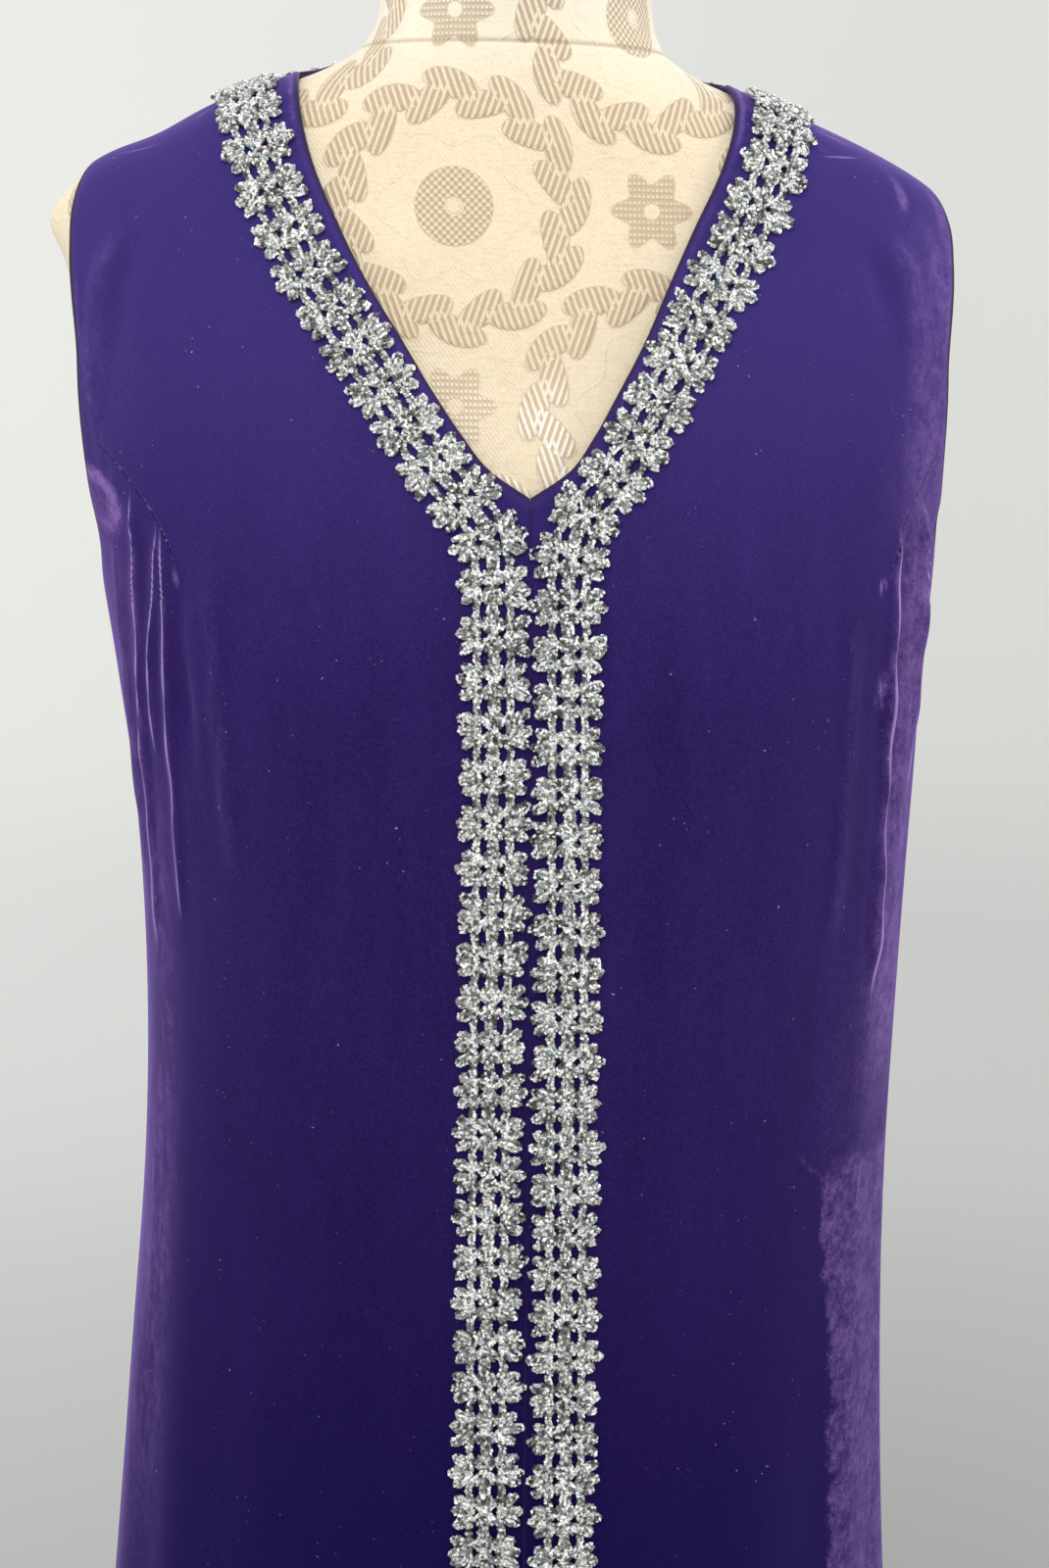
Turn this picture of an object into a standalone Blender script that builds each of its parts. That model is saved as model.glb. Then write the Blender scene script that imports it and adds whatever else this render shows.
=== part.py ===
"""Full-length sleeveless velvet caftan with silver flower braid, worn by a limbless dress form on a stand.

Metres, +Z up. The origin is on the floor under the form, and the caftan faces -Y.
A point of the cloth is given by its turn and its height. The turn is the angle round the body in degrees: 0
at the centre front, +90 at the wearer's left side, -90 at the right side and 180 at the centre back.
"""

import math

import bmesh
import bpy
import numpy as np

# Driving heights
HEM_Z = 0.050
UNDERARM_Z = 1.190
V_POINT_Z = 1.240
SHOULDER_TIP_Z = 1.372
NECK_POINT_Z = 1.412
BACK_NECK_Z = 1.428
FORM_BOTTOM_Z = 0.740
FORM_TOP_Z = 1.530

# Cloth and seams
MERGE_DISTANCE = 1e-6
SHARP_ANGLE = math.radians(40.0)
CLOTH_THICKNESS = 0.0018
SEAM_GAP = 0.0003
PANEL_COLUMNS = 11

# The shoulders hang a little lower on the wearer's left.
SHOULDER_DROP = 0.016
DROP_START_Z = 1.140
DROP_FULL_Z = 1.360
DROP_FADE_Z = 1.430
DROP_END_Z = 1.500
# The cloth sags a little beside the wearer's right shoulder point.
SHOULDER_SAG = {"x": -0.156, "half_width": 0.017, "depth": 0.0034, "from": (1.330, 1.375)}

# Inner face of the cloth, section by section: height, half width, depth to the front and to the back of the
# shoulder plane, and squareness (2 is an ellipse).
CLOTH_SECTIONS = (
    # z, half_width, front, back, squareness
    (0.050, 0.2480, 0.1860, 0.1860, 2.05),
    (0.250, 0.2310, 0.1700, 0.1700, 2.10),
    (0.500, 0.2080, 0.1500, 0.1530, 2.15),
    (0.700, 0.1895, 0.1370, 0.1410, 2.20),
    (0.800, 0.1820, 0.1330, 0.1350, 2.25),
    (0.900, 0.1765, 0.1310, 0.1290, 2.30),
    (1.000, 0.1750, 0.1300, 0.1210, 2.35),
    (1.080, 0.1775, 0.1305, 0.1130, 2.40),
    (1.150, 0.1825, 0.1270, 0.1080, 2.40),
    (1.190, 0.1868, 0.1215, 0.1070, 2.40),
    (1.215, 0.1890, 0.1165, 0.1067, 2.40),
    (1.240, 0.1950, 0.1105, 0.1060, 2.40),
    (1.290, 0.2045, 0.0960, 0.1030, 2.40),
    (1.335, 0.2055, 0.0810, 0.0960, 2.40),
    (1.355, 0.1980, 0.0745, 0.0910, 2.35),
    (1.372, 0.1820, 0.0695, 0.0860, 2.30),
    (1.385, 0.1600, 0.0660, 0.0820, 2.25),
    (1.398, 0.1295, 0.0630, 0.0790, 2.20),
    (1.412, 0.0945, 0.0600, 0.0765, 2.15),
    (1.428, 0.0790, 0.0575, 0.0735, 2.10),
    (1.440, 0.0730, 0.0565, 0.0700, 2.05),
)

# Surface of the dress form, with the same columns.
FORM_SECTIONS = (
    (0.740, 0.1500, 0.0900, 0.1000, 2.10),
    (0.752, 0.1610, 0.1010, 0.1120, 2.15),
    (0.800, 0.1690, 0.1080, 0.1190, 2.20),
    (0.860, 0.1670, 0.1070, 0.1160, 2.25),
    (0.950, 0.1440, 0.0990, 0.0990, 2.25),
    (1.020, 0.1270, 0.0950, 0.0860, 2.25),
    (1.090, 0.1420, 0.1090, 0.0900, 2.30),
    (1.150, 0.1620, 0.1245, 0.0970, 2.40),
    (1.190, 0.1710, 0.1195, 0.1010, 2.40),
    (1.240, 0.1830, 0.1080, 0.1020, 2.40),
    (1.290, 0.1935, 0.0930, 0.0990, 2.40),
    (1.335, 0.1965, 0.0785, 0.0920, 2.40),
    (1.355, 0.1940, 0.0720, 0.0880, 2.35),
    (1.372, 0.1805, 0.0670, 0.0835, 2.30),
    (1.385, 0.1585, 0.0637, 0.0797, 2.25),
    (1.398, 0.1278, 0.0606, 0.0767, 2.20),
    (1.412, 0.0922, 0.0577, 0.0742, 2.15),
    (1.428, 0.0725, 0.0550, 0.0700, 2.10),
    (1.440, 0.0652, 0.0545, 0.0660, 2.05),
    (1.462, 0.0605, 0.0550, 0.0600, 2.00),
    (1.490, 0.0575, 0.0570, 0.0550, 2.00),
    (1.530, 0.0570, 0.0590, 0.0520, 2.00),
)

# The end of the form's right shoulder looks out of the armhole.
SHOULDER_KNOB = {"right": 0.0080, "left": -0.0040, "z": 1.346, "height": 0.016, "turn_width": 8.0}

# Soft cups of the bust, on the form and under the cloth that hangs from them.
BUST = {"x": 0.082, "z": 1.148, "rise": 0.0070, "width": 0.048, "above": 0.050}
BUST_BELOW_FORM = 0.050
BUST_BELOW_CLOTH = 0.170

# The sides of the cloth hang a little off centre: height, and shift across at the wearer's right and left sides.
SWAY = (
    # z, right, left
    (0.050, -0.0020, -0.0020),
    (0.500, -0.0040, -0.0040),
    (0.720, -0.0030, -0.0050),
    (0.850, 0.0004, -0.0023),
    (0.930, 0.0045, 0.0000),
    (1.000, 0.0070, 0.0022),
    (1.080, 0.0082, 0.0024),
    (1.110, 0.0080, 0.0020),
    (1.150, 0.0063, 0.0004),
    (1.180, 0.0054, -0.0006),
    (1.215, 0.0032, -0.0008),
    (1.240, 0.0002, -0.0017),
    (1.262, -0.0014, -0.0024),
    (1.290, -0.0025, -0.0026),
    (1.320, -0.0041, -0.0018),
    (1.340, -0.0043, -0.0012),
    (1.356, -0.0026, -0.0020),
    (1.370, -0.0008, -0.0038),
    (1.386, 0.0000, -0.0066),
    (1.400, 0.0000, -0.0068),
    (1.412, 0.0000, -0.0060),
    (1.440, 0.0000, -0.0025),
    (1.470, 0.0000, 0.0000),
)

# Folds that fall from the bust, the darts and the shoulder blades.
FOLDS = (
    # turn_at_hem, turn_at_top, half_width_degrees, height_at_hem, top_z
    (-152.0, -148.0, 13.0, 0.0190, 1.08),
    (-124.0, -120.0, 11.0, 0.0220, 1.05),
    (-99.0, -96.0, 10.0, 0.0170, 1.00),
    (-76.0, -70.0, 9.0, 0.0190, 1.14),
    (-55.0, -55.0, 9.0, 0.0180, 1.12),
    (-33.0, -38.0, 9.0, 0.0160, 0.98),
    (31.0, 36.0, 10.0, 0.0150, 0.94),
    (53.0, 56.0, 9.0, 0.0210, 1.13),
    (76.0, 72.0, 9.0, 0.0180, 1.15),
    (101.0, 98.0, 10.0, 0.0190, 1.02),
    (127.0, 122.0, 12.0, 0.0210, 1.06),
    (155.0, 150.0, 12.0, 0.0190, 1.08),
    (180.0, 180.0, 11.0, 0.0130, 0.95),
)

# Front neckline, which lies a little uneven: height, and width from the middle on the wearer's right and left.
NECKLINE = (
    # z, right, left
    (1.2400, 0.0000, 0.0000),
    (1.2500, 0.0152, 0.0152),
    (1.2640, 0.0270, 0.0260),
    (1.2800, 0.0380, 0.0353),
    (1.3020, 0.0514, 0.0474),
    (1.3260, 0.0660, 0.0584),
    (1.3500, 0.0780, 0.0698),
    (1.3730, 0.0880, 0.0820),
    (1.3930, 0.0930, 0.0906),
    (1.4060, 0.0944, 0.0941),
    (1.4120, 0.0945, 0.0945),
)
BACK_NECK_RISE_TURN = 50.0
BACK_NECK_ROWS = (1.4128, 1.4148, 1.418, 1.423, BACK_NECK_Z)

# Armhole: how far its edge lies in front of and behind the shoulder plane.
ARMHOLE_FRONT = 0.050
ARMHOLE_BACK = 0.046
ARMHOLE_SHAPE = 2.3

# Silver braid of three-petalled flowers, one length for each half. It runs from the hem up beside the centre
# front, turns at the V, and follows the neckline over the shoulder to the centre back.
BRAID_PITCH = 0.0190
BRAID_THICKNESS = 0.0020
BRAID_CROWN = 0.0006
BRAID_END_ABOVE_HEM = 0.0020
BRAID_MEETING_GAP = 0.0002
# Its gap to the cloth, and more of it over the curve of the shoulder.
BRAID_LIFT = 0.0007
BRAID_RIDGE_LIFT = 0.0006
BRAID_RIDGE_Z = 1.385
# Beyond this length from the hem its middle line has a second point in each flower.
BRAID_CURVED_FROM = 1.290
# The straight column beside the centre front: its x at the top, how fast it drifts outwards, and its top.
BRAID_COLUMN_X = 0.0156
BRAID_COLUMN_SPREAD = 0.0040
BRAID_TURN_Z = 1.2180
# Round the neck: how far its centre line lies in from the edge, and the room left for the corner at the V.
BRAID_INSET = ((0.0, 0.0165), (0.23, 0.0168), (0.36, 0.0206), (0.65, 0.0200), (0.85, 0.0162), (1.0, 0.0155))
BRAID_CORNER = 0.0040
BRAID_STEP = 0.0020
PETAL_OUTLINE = (
    # along the braid from the flower's middle, out from the braid's centre line
    (-0.0095, 0.0062),
    (-0.0062, 0.0120),
    (-0.0030, 0.0098),
    (0.0000, 0.0144),
    (0.0030, 0.0098),
    (0.0062, 0.0120),
)

# Stand
BASE_RADIUS = 0.165
BASE_THICKNESS = 0.009
BASE_EDGE = 0.0025
POLE_RADIUS = 0.0125
COLLAR_RADIUS = 0.028
COLLAR_HEIGHT = 0.045
CAP_RADIUS = 0.0520
CAP_HEIGHT = 0.022
REST_GAP = 0.0003

VELVET = ("velvet", (0.060, 0.030, 0.240, 1.0), 0.75, 0.0)
BRAID = ("silver braid", (0.62, 0.63, 0.62, 1.0), 0.35, 0.8)
FORM_COVER = ("ecru jacquard", (0.82, 0.74, 0.60, 1.0), 0.85, 0.0)
STAND_METAL = ("dark stand metal", (0.07, 0.07, 0.075, 1.0), 0.40, 0.9)
CAP_WOOD = ("cap wood", (0.32, 0.18, 0.09, 1.0), 0.45, 0.0)


def ease_step(low, high, value):
    """0 below low, 1 above high, and a smooth rise between."""
    t = np.clip((np.asarray(value, float) - low) / (high - low), 0.0, 1.0)
    return t * t * (3.0 - 2.0 * t)


def read_table(rows, value):
    """Every column of a table after the first, at the given value of the first, on a smooth curve."""
    table = np.array(rows, float)
    keys, columns = table[:, 0], table[:, 1:]
    slopes = np.gradient(columns, keys, axis=0)
    value = np.clip(np.asarray(value, float), keys[0], keys[-1])
    i = np.clip(np.searchsorted(keys, value, side="right") - 1, 0, len(keys) - 2)
    span = (keys[i + 1] - keys[i])[..., None]
    t = ((value - keys[i]) / (keys[i + 1] - keys[i]))[..., None]
    return (
        (2 * t**3 - 3 * t**2 + 1) * columns[i]
        + (t**3 - 2 * t**2 + t) * span * slopes[i]
        + (3 * t**2 - 2 * t**3) * columns[i + 1]
        + (t**3 - t**2) * span * slopes[i + 1]
    )


def section_point(rows, turn, z):
    """Point of a table's section at a turn and a height."""
    half_width, front, back, square = np.moveaxis(read_table(rows, z), -1, 0)
    angle = np.radians(turn)
    across, ahead = np.sin(angle), np.cos(angle)
    x = half_width * np.sign(across) * np.abs(across) ** (2 / square)
    depth = np.where(ahead > 0, -front, back)
    y = depth * np.abs(ahead) ** (2 / square)
    return x, y


def bust_rise(x, y, z, below):
    """How far the cups push the front forward."""
    spread = np.where(z > BUST["z"], BUST["above"], below)
    beside = np.exp(-(((np.abs(x) - BUST["x"]) / BUST["width"]) ** 2))
    level = np.exp(-(((z - BUST["z"]) / spread) ** 2))
    return np.where(y < 0, BUST["rise"] * beside * level, 0.0)


def shoulder_drop(x, z):
    """How much lower a point sits for the tilt of the shoulders, from the bust up to the neck."""
    share = ease_step(DROP_START_Z, DROP_FULL_Z, z) * (1.0 - ease_step(DROP_FADE_Z, DROP_END_Z, z))
    return SHOULDER_DROP * x * share


def shoulder_sag(x, z):
    """How much lower a point sits for the sag beside the wearer's right shoulder point."""
    away = (x - SHOULDER_SAG["x"]) / SHOULDER_SAG["half_width"]
    return SHOULDER_SAG["depth"] * np.exp(-(away**2)) * ease_step(*SHOULDER_SAG["from"], z)


def sway(x, z):
    """Shift across of the cloth at the side that x lies on."""
    right, left = np.moveaxis(read_table(SWAY, z), -1, 0)
    return np.where(x < 0, right, left)


def form_point(turn, z):
    """Point on the dress form. Its left shoulder is shifted like the cloth that lies on it."""
    turn, z = np.broadcast_arrays(np.asarray(turn, float), np.asarray(z, float))
    x, y = section_point(FORM_SECTIONS, turn, z)
    knob = np.exp(-(((z - SHOULDER_KNOB["z"]) / SHOULDER_KNOB["height"]) ** 2))
    knob = knob * np.exp(-(((np.abs(turn) - 90.0) / SHOULDER_KNOB["turn_width"]) ** 2))
    reach = np.where(x < 0, SHOULDER_KNOB["right"], SHOULDER_KNOB["left"])
    shifted = ease_step(1.300, 1.335, z) * (x > 0) * (x / read_table(FORM_SECTIONS, z)[..., 0]) ** 2
    x = x + np.sign(x) * reach * knob * (z < SHOULDER_TIP_Z) + sway(x, z) * shifted
    y = y - bust_rise(x, y, z, BUST_BELOW_FORM)
    return np.stack([x, y, z - shoulder_drop(x, z) - shoulder_sag(x, z)], axis=-1)


def fold_height(turn, z):
    """Outward height of the folds, less a share that pulls the cloth in between them."""
    total = np.zeros(np.broadcast(turn, z).shape)
    for turn_hem, turn_top, half_width, height, top in FOLDS:
        share = np.clip((top - z) / (top - HEM_Z), 0.0, 1.0)
        middle = turn_hem + (turn_top - turn_hem) * (1.0 - share)
        away = (turn - middle + 180.0) % 360.0 - 180.0
        crest = np.exp(-((away / half_width) ** 2)) - 0.5 * np.exp(-((away / (2 * half_width)) ** 2))
        total = total + height * share**1.15 * crest
    return total


def cloth_point(turn, z):
    """Point on the inner face of the cloth."""
    turn, z = np.broadcast_arrays(np.asarray(turn, float), np.asarray(z, float))
    x, y = section_point(CLOTH_SECTIONS, turn, z)
    fold = fold_height(turn, z) * ease_step(3.0, 16.0, np.abs(turn))
    radius = np.hypot(x, y)
    x = x * (1.0 + fold / radius)
    y = y * (1.0 + fold / radius)
    x = x + sway(x, z) * (x / read_table(CLOTH_SECTIONS, z)[..., 0]) ** 2
    y = y - bust_rise(x, y, z, BUST_BELOW_CLOTH)
    return np.stack([x, y, z - shoulder_drop(x, z) - shoulder_sag(x, z)], axis=-1)


def cloth_normal(turn, z):
    """Outward normal of the cloth."""
    step_turn, step_z = 0.4, 0.0006
    along = cloth_point(turn + step_turn, z) - cloth_point(turn - step_turn, z)
    up = cloth_point(turn, z + step_z) - cloth_point(turn, z - step_z)
    normal = np.cross(along, up)
    return normal / np.linalg.norm(normal, axis=-1, keepdims=True)


def turn_at_x(x, z):
    """Turn, towards the front, at which the section is x wide."""
    half_width, _, _, square = np.moveaxis(read_table(CLOTH_SECTIONS, z), -1, 0)
    return np.degrees(np.arcsin(np.clip(x / half_width, 0.0, 1.0) ** (square / 2)))


def armhole_turn(z, back):
    """Turn of the armhole's edge, on the wearer's left: under 90 at the front and over 90 at the back."""
    middle, half = (SHOULDER_TIP_Z + UNDERARM_Z) / 2, (SHOULDER_TIP_Z - UNDERARM_Z) / 2
    open_share = (1.0 - np.clip(np.abs(z - middle) / half, 0.0, 1.0) ** ARMHOLE_SHAPE) ** 0.5
    _, front_depth, back_depth, square = np.moveaxis(read_table(CLOTH_SECTIONS, z), -1, 0)
    if back:
        return 180.0 - np.degrees(np.arccos((ARMHOLE_BACK * open_share / back_depth) ** (square / 2)))
    return np.degrees(np.arccos((ARMHOLE_FRONT * open_share / front_depth) ** (square / 2)))


def neck_back_z(turn):
    """Height of the back neckline at a turn from 90 to 180."""
    rise = ease_step(90.0, 90.0 + BACK_NECK_RISE_TURN, turn)
    return NECK_POINT_Z + (BACK_NECK_Z - NECK_POINT_Z) * rise


def panel_rows():
    """Heights of the rows that the panels and the form share."""
    skirt = np.linspace(HEM_Z, 1.01, 10)
    body = np.array([1.055, 1.095, 1.130, 1.160, UNDERARM_Z])
    armhole = np.array([1.194, 1.203, 1.219, V_POINT_Z, 1.262, 1.287, 1.312, 1.334, 1.350, 1.361, 1.368])
    shoulder = np.array([SHOULDER_TIP_Z, 1.380, 1.389, 1.397, 1.404, 1.409, NECK_POINT_Z])
    return np.concatenate([skirt, body, armhole, shoulder])


def front_edges(z, side):
    """Turn of the inner and of the outer edge of a front at a height, as on the wearer's left."""
    opening = read_table(NECKLINE, z)[max(side, 0)]
    inner = turn_at_x(opening, z) if z > V_POINT_Z else 0.0
    if z >= NECK_POINT_Z:
        inner = 90.0
    armhole = UNDERARM_Z < z < SHOULDER_TIP_Z
    return inner, armhole_turn(z, False) if armhole else 90.0


def back_edge(z):
    """Turn of the outer edge of the back at a height, on the wearer's left."""
    if UNDERARM_Z < z < SHOULDER_TIP_Z:
        return float(armhole_turn(z, True))
    if z <= NECK_POINT_Z:
        return 90.0
    turns = np.linspace(90.0, 90.0 + BACK_NECK_RISE_TURN, 60)
    return float(np.interp(z, neck_back_z(turns), turns))


def material(finish):
    name, colour, roughness, metallic = finish
    made = bpy.data.materials.get(name) or bpy.data.materials.new(name)
    made.use_nodes = True
    shader = made.node_tree.nodes["Principled BSDF"]
    shader.inputs["Base Color"].default_value = colour
    shader.inputs["Roughness"].default_value = roughness
    shader.inputs["Metallic"].default_value = metallic
    made.diffuse_color = colour
    return made


def finished(name, work, finish):
    """Object from a closed bmesh, with its faces turned outwards and its sharp edges kept."""
    bmesh.ops.remove_doubles(work, verts=work.verts, dist=MERGE_DISTANCE)
    bmesh.ops.dissolve_degenerate(work, edges=work.edges, dist=MERGE_DISTANCE)
    bmesh.ops.recalc_face_normals(work, faces=work.faces)
    mesh = bpy.data.meshes.new(name)
    work.to_mesh(mesh)
    work.free()
    mesh.materials.append(material(finish))
    mesh.shade_smooth()
    mesh.set_sharp_from_angle(angle=SHARP_ANGLE)
    made = bpy.data.objects.new(name, mesh)
    bpy.context.scene.collection.objects.link(made)
    return made


def closed_piece(name, points, faces, finish):
    """One closed piece from points and faces."""
    work = bmesh.new()
    corners = [work.verts.new(point) for point in points]
    for face in faces:
        work.faces.new([corners[i] for i in face])
    return finished(name, work, finish)


def wall(name, inner, outer, finish):
    """Closed wall between an inner and an outer grid of points, rows by columns."""
    rows, columns = inner.shape[:2]
    count = rows * columns
    points = np.concatenate([inner.reshape(-1, 3), outer.reshape(-1, 3)])

    def at(row, column, side):
        return side * count + row * columns + column

    faces = []
    for r in range(rows - 1):
        for c in range(columns - 1):
            corners = [(r, c), (r, c + 1), (r + 1, c + 1), (r + 1, c)]
            faces.append([at(*p, 1) for p in corners])
            faces.append([at(*p, 0) for p in reversed(corners)])
    loop = [(0, c) for c in range(columns)] + [(r, columns - 1) for r in range(1, rows)]
    loop += [(rows - 1, c) for c in range(columns - 2, -1, -1)] + [(r, 0) for r in range(rows - 2, 0, -1)]
    for here, there in zip(loop, loop[1:] + loop[:1]):
        faces.append([at(*there, 1), at(*here, 1), at(*here, 0), at(*there, 0)])
    return closed_piece(name, points, faces, finish)


def front_grids(side):
    """Inner and outer points of one half of the front. side is +1 on the wearer's left."""
    inner, outer = [], []
    for z in panel_rows():
        first, last = front_edges(z, side)
        turns = np.linspace(first, last, PANEL_COLUMNS + 1) * side
        points, normals = cloth_point(turns, z), cloth_normal(turns, z)
        normals[0, 0] *= 0.0 if z <= V_POINT_Z else 1.0
        at_seam = not UNDERARM_Z < z < SHOULDER_TIP_Z
        sewn = slice(None) if z >= NECK_POINT_Z else slice(-1, None)
        normals[sewn, 1] *= 0.0 if at_seam else 1.0
        normals /= np.linalg.norm(normals, axis=-1, keepdims=True)
        if z <= V_POINT_Z:
            points[0, 0] = side * SEAM_GAP / 2
        if at_seam:
            points[sewn, 1] = -SEAM_GAP / 2
        inner.append(points)
        outer.append(points + normals * CLOTH_THICKNESS)
    return np.array(inner), np.array(outer)


def back_grids():
    """Inner and outer points of the back, from the wearer's right side to the left."""
    heights = np.concatenate([panel_rows(), BACK_NECK_ROWS])
    inner, outer = [], []
    for z in heights:
        edge = back_edge(z)
        half = np.linspace(edge, 180.0, PANEL_COLUMNS + 1)
        turns = np.concatenate([half, 360.0 - half[-2::-1]])
        points, normals = cloth_point(turns, z), cloth_normal(turns, z)
        at_seam = z <= UNDERARM_Z or SHOULDER_TIP_Z <= z <= NECK_POINT_Z
        if at_seam:
            normals[[0, -1], 1] = 0.0
            normals /= np.linalg.norm(normals, axis=-1, keepdims=True)
            points[[0, -1], 1] = SEAM_GAP / 2
        inner.append(points)
        outer.append(points + normals * CLOTH_THICKNESS)
    return np.array(inner), np.array(outer)


def to_turn_and_height(points):
    """Turn and height of the places of the cloth nearest to points beside it."""
    x, y = points[..., 0], points[..., 1]
    z = points[..., 2] + shoulder_drop(x, points[..., 2]) + shoulder_sag(x, points[..., 2])
    half_width, front, back, square = np.moveaxis(read_table(CLOTH_SECTIONS, z), -1, 0)
    x = x - sway(x, z) * (x / half_width) ** 2
    across = np.abs(x / half_width) ** (square / 2)
    ahead = np.abs(y / np.where(y < 0, front, back)) ** (square / 2)
    turn = np.degrees(np.arctan2(across, np.where(y < 0, ahead, -ahead)))
    return turn * np.sign(x), z


def neckline_path(side):
    """Turn and height along one half of the neckline, from the V to the centre back."""
    heights = np.linspace(V_POINT_Z, NECK_POINT_Z, 80)
    front = turn_at_x(read_table(NECKLINE, heights)[:, max(side, 0)], heights)
    front[-1] = 90.0
    back = np.linspace(90.0, 180.0, 80)[1:]
    return np.concatenate([front, back]) * side, np.concatenate([heights, neck_back_z(back)])


def evenly(points, spacing):
    """The same line with its points evenly spaced, and the distance of each along it."""
    along = np.concatenate([[0.0], np.cumsum(np.linalg.norm(np.diff(points, axis=0), axis=1))])
    count = max(2, round(along[-1] / spacing))
    places = np.linspace(0.0, along[-1], count + 1)
    return np.stack([np.interp(places, along, points[:, i]) for i in range(3)], axis=1), places


def soften(points, times):
    """Rounds the corners of a line and keeps its ends."""
    for _ in range(times):
        points = points.copy()
        points[1:-1] = (points[:-2] + 2 * points[1:-1] + points[2:]) / 4
    return points


def braid_line(side):
    """Centre line of one braid on the cloth, from the hem to the centre back."""
    edge, _ = evenly(cloth_point(*neckline_path(side)), BRAID_STEP)
    edge = soften(edge, 12)
    outward = side * np.cross(np.gradient(edge, axis=0), cloth_normal(*to_turn_and_height(edge)))
    outward /= np.linalg.norm(outward, axis=1, keepdims=True)
    inset = np.interp(np.linspace(0.0, 1.0, len(edge)), *np.transpose(BRAID_INSET))
    round_neck = edge + outward * inset[:, None]
    past_corner = (round_neck[:, 1] > 0) | (side * round_neck[:, 0] > BRAID_COLUMN_X + BRAID_CORNER)
    heights = np.linspace(HEM_Z + BRAID_END_ABOVE_HEM, BRAID_TURN_Z, 120)
    column_x = BRAID_COLUMN_X + BRAID_COLUMN_SPREAD * (BRAID_TURN_Z - heights)
    column = cloth_point(turn_at_x(column_x, heights) * side, heights)
    line, _ = evenly(np.concatenate([column, round_neck[past_corner]]), 2 * BRAID_STEP)
    line = soften(line, 6)
    line = line[side * line[:, 0] > BRAID_MEETING_GAP]
    line = np.concatenate([line, [[side * BRAID_MEETING_GAP, *line[-1, 1:]]]])
    return cloth_point(*to_turn_and_height(line))


def on_cloth(points, height):
    """The points laid on the cloth's outer face, at a height above the braid's underside."""
    turns, heights = to_turn_and_height(points)
    lift = BRAID_LIFT + BRAID_RIDGE_LIFT * ease_step(BRAID_RIDGE_Z - 0.02, BRAID_RIDGE_Z, heights)
    normals = cloth_normal(turns, heights)
    return cloth_point(turns, heights) + normals * (CLOTH_THICKNESS + lift + height)[..., None]


def braid_stations(length):
    """Distance along the braid, half width, and whether the middle line has a point there."""
    flowers = round(length / BRAID_PITCH)
    pitch = length / flowers
    stations = []
    for flower in range(flowers):
        curved = (flower + 0.5) * pitch > BRAID_CURVED_FROM
        for step, (along, out) in enumerate(PETAL_OUTLINE):
            place = (flower + 0.5 + along / BRAID_PITCH) * pitch
            stations.append((place, out, step == 0 or (curved and step == 3)))
    stations.append((length, PETAL_OUTLINE[0][1], True))
    return stations


def braid_rails(side):
    """Outer, middle and inner lines of one braid along the cloth, and the indices of its middle points."""
    line, places = evenly(braid_line(side), BRAID_STEP / 2)
    tangent = np.gradient(line, axis=0)
    turns, heights = to_turn_and_height(line)
    across = side * np.cross(tangent, cloth_normal(turns, heights))
    across /= np.linalg.norm(across, axis=1, keepdims=True)
    stations = braid_stations(places[-1])
    at = [place for place, _, _ in stations]
    widths = np.array([out for _, out, _ in stations])[:, None]
    middle = np.stack([np.interp(at, places, line[:, i]) for i in range(3)], axis=1)
    outward = np.stack([np.interp(at, places, across[:, i]) for i in range(3)], axis=1)
    rails = [middle + outward * widths, middle, middle - outward * widths]
    return rails, [i for i, (_, _, kept) in enumerate(stations) if kept]


def braid(name, side):
    """One length of flower braid as a strip with a petalled outline, thicker along its middle."""
    rails, kept = braid_rails(side)
    count = len(rails[0])
    low = [on_cloth(rail, np.zeros(count)) for rail in rails]
    thickness = (BRAID_THICKNESS, BRAID_THICKNESS + BRAID_CROWN, BRAID_THICKNESS)
    high = [on_cloth(rail, np.full(count, height)) for rail, height in zip(rails, thickness)]
    points = np.concatenate(low + high)
    points[:, 0] = side * np.maximum(side * points[:, 0], BRAID_MEETING_GAP)
    faces = []
    for level in (0, 3):
        for start, end in zip(kept, kept[1:]):
            for rail in (0, 2):
                edge = [(level + rail) * count + i for i in range(start, end + 1)]
                faces.append([*edge, (level + 1) * count + end, (level + 1) * count + start])
    for rail in (0, 2):
        for i in range(count - 1):
            low_start, high_start = rail * count + i, (rail + 3) * count + i
            faces.append([low_start, low_start + 1, high_start + 1, high_start])
    for i in (0, count - 1):
        faces.append([i, count + i, 2 * count + i, 5 * count + i, 4 * count + i, 3 * count + i])
    return closed_piece(name, points, faces, BRAID)


def dress_form():
    """Torso and neck of the form, closed at the waistline of the stand and at the top of the neck."""
    rows = panel_rows()
    body = rows[rows > 0.80]
    low = np.array([FORM_BOTTOM_Z, 0.752, 0.785])
    neck = np.array([1.417, 1.422, 1.428, 1.440, 1.462, 1.490, FORM_TOP_Z])
    heights = np.concatenate([low, body, neck])
    turns = np.arange(-180.0, 180.0, 15.0)
    grid = np.array([form_point(turns, z) for z in heights])
    columns = len(turns)
    points = grid.reshape(-1, 3)
    faces = []
    for r in range(len(heights) - 1):
        for c in range(columns):
            beside = (c + 1) % columns
            low, high = r * columns, (r + 1) * columns
            faces.append([low + c, low + beside, high + beside, high + c])
    faces.append(list(range(columns)))
    faces.append([(len(heights) - 1) * columns + c for c in range(columns)])
    return closed_piece("form_torso", points, faces, FORM_COVER)


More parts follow.
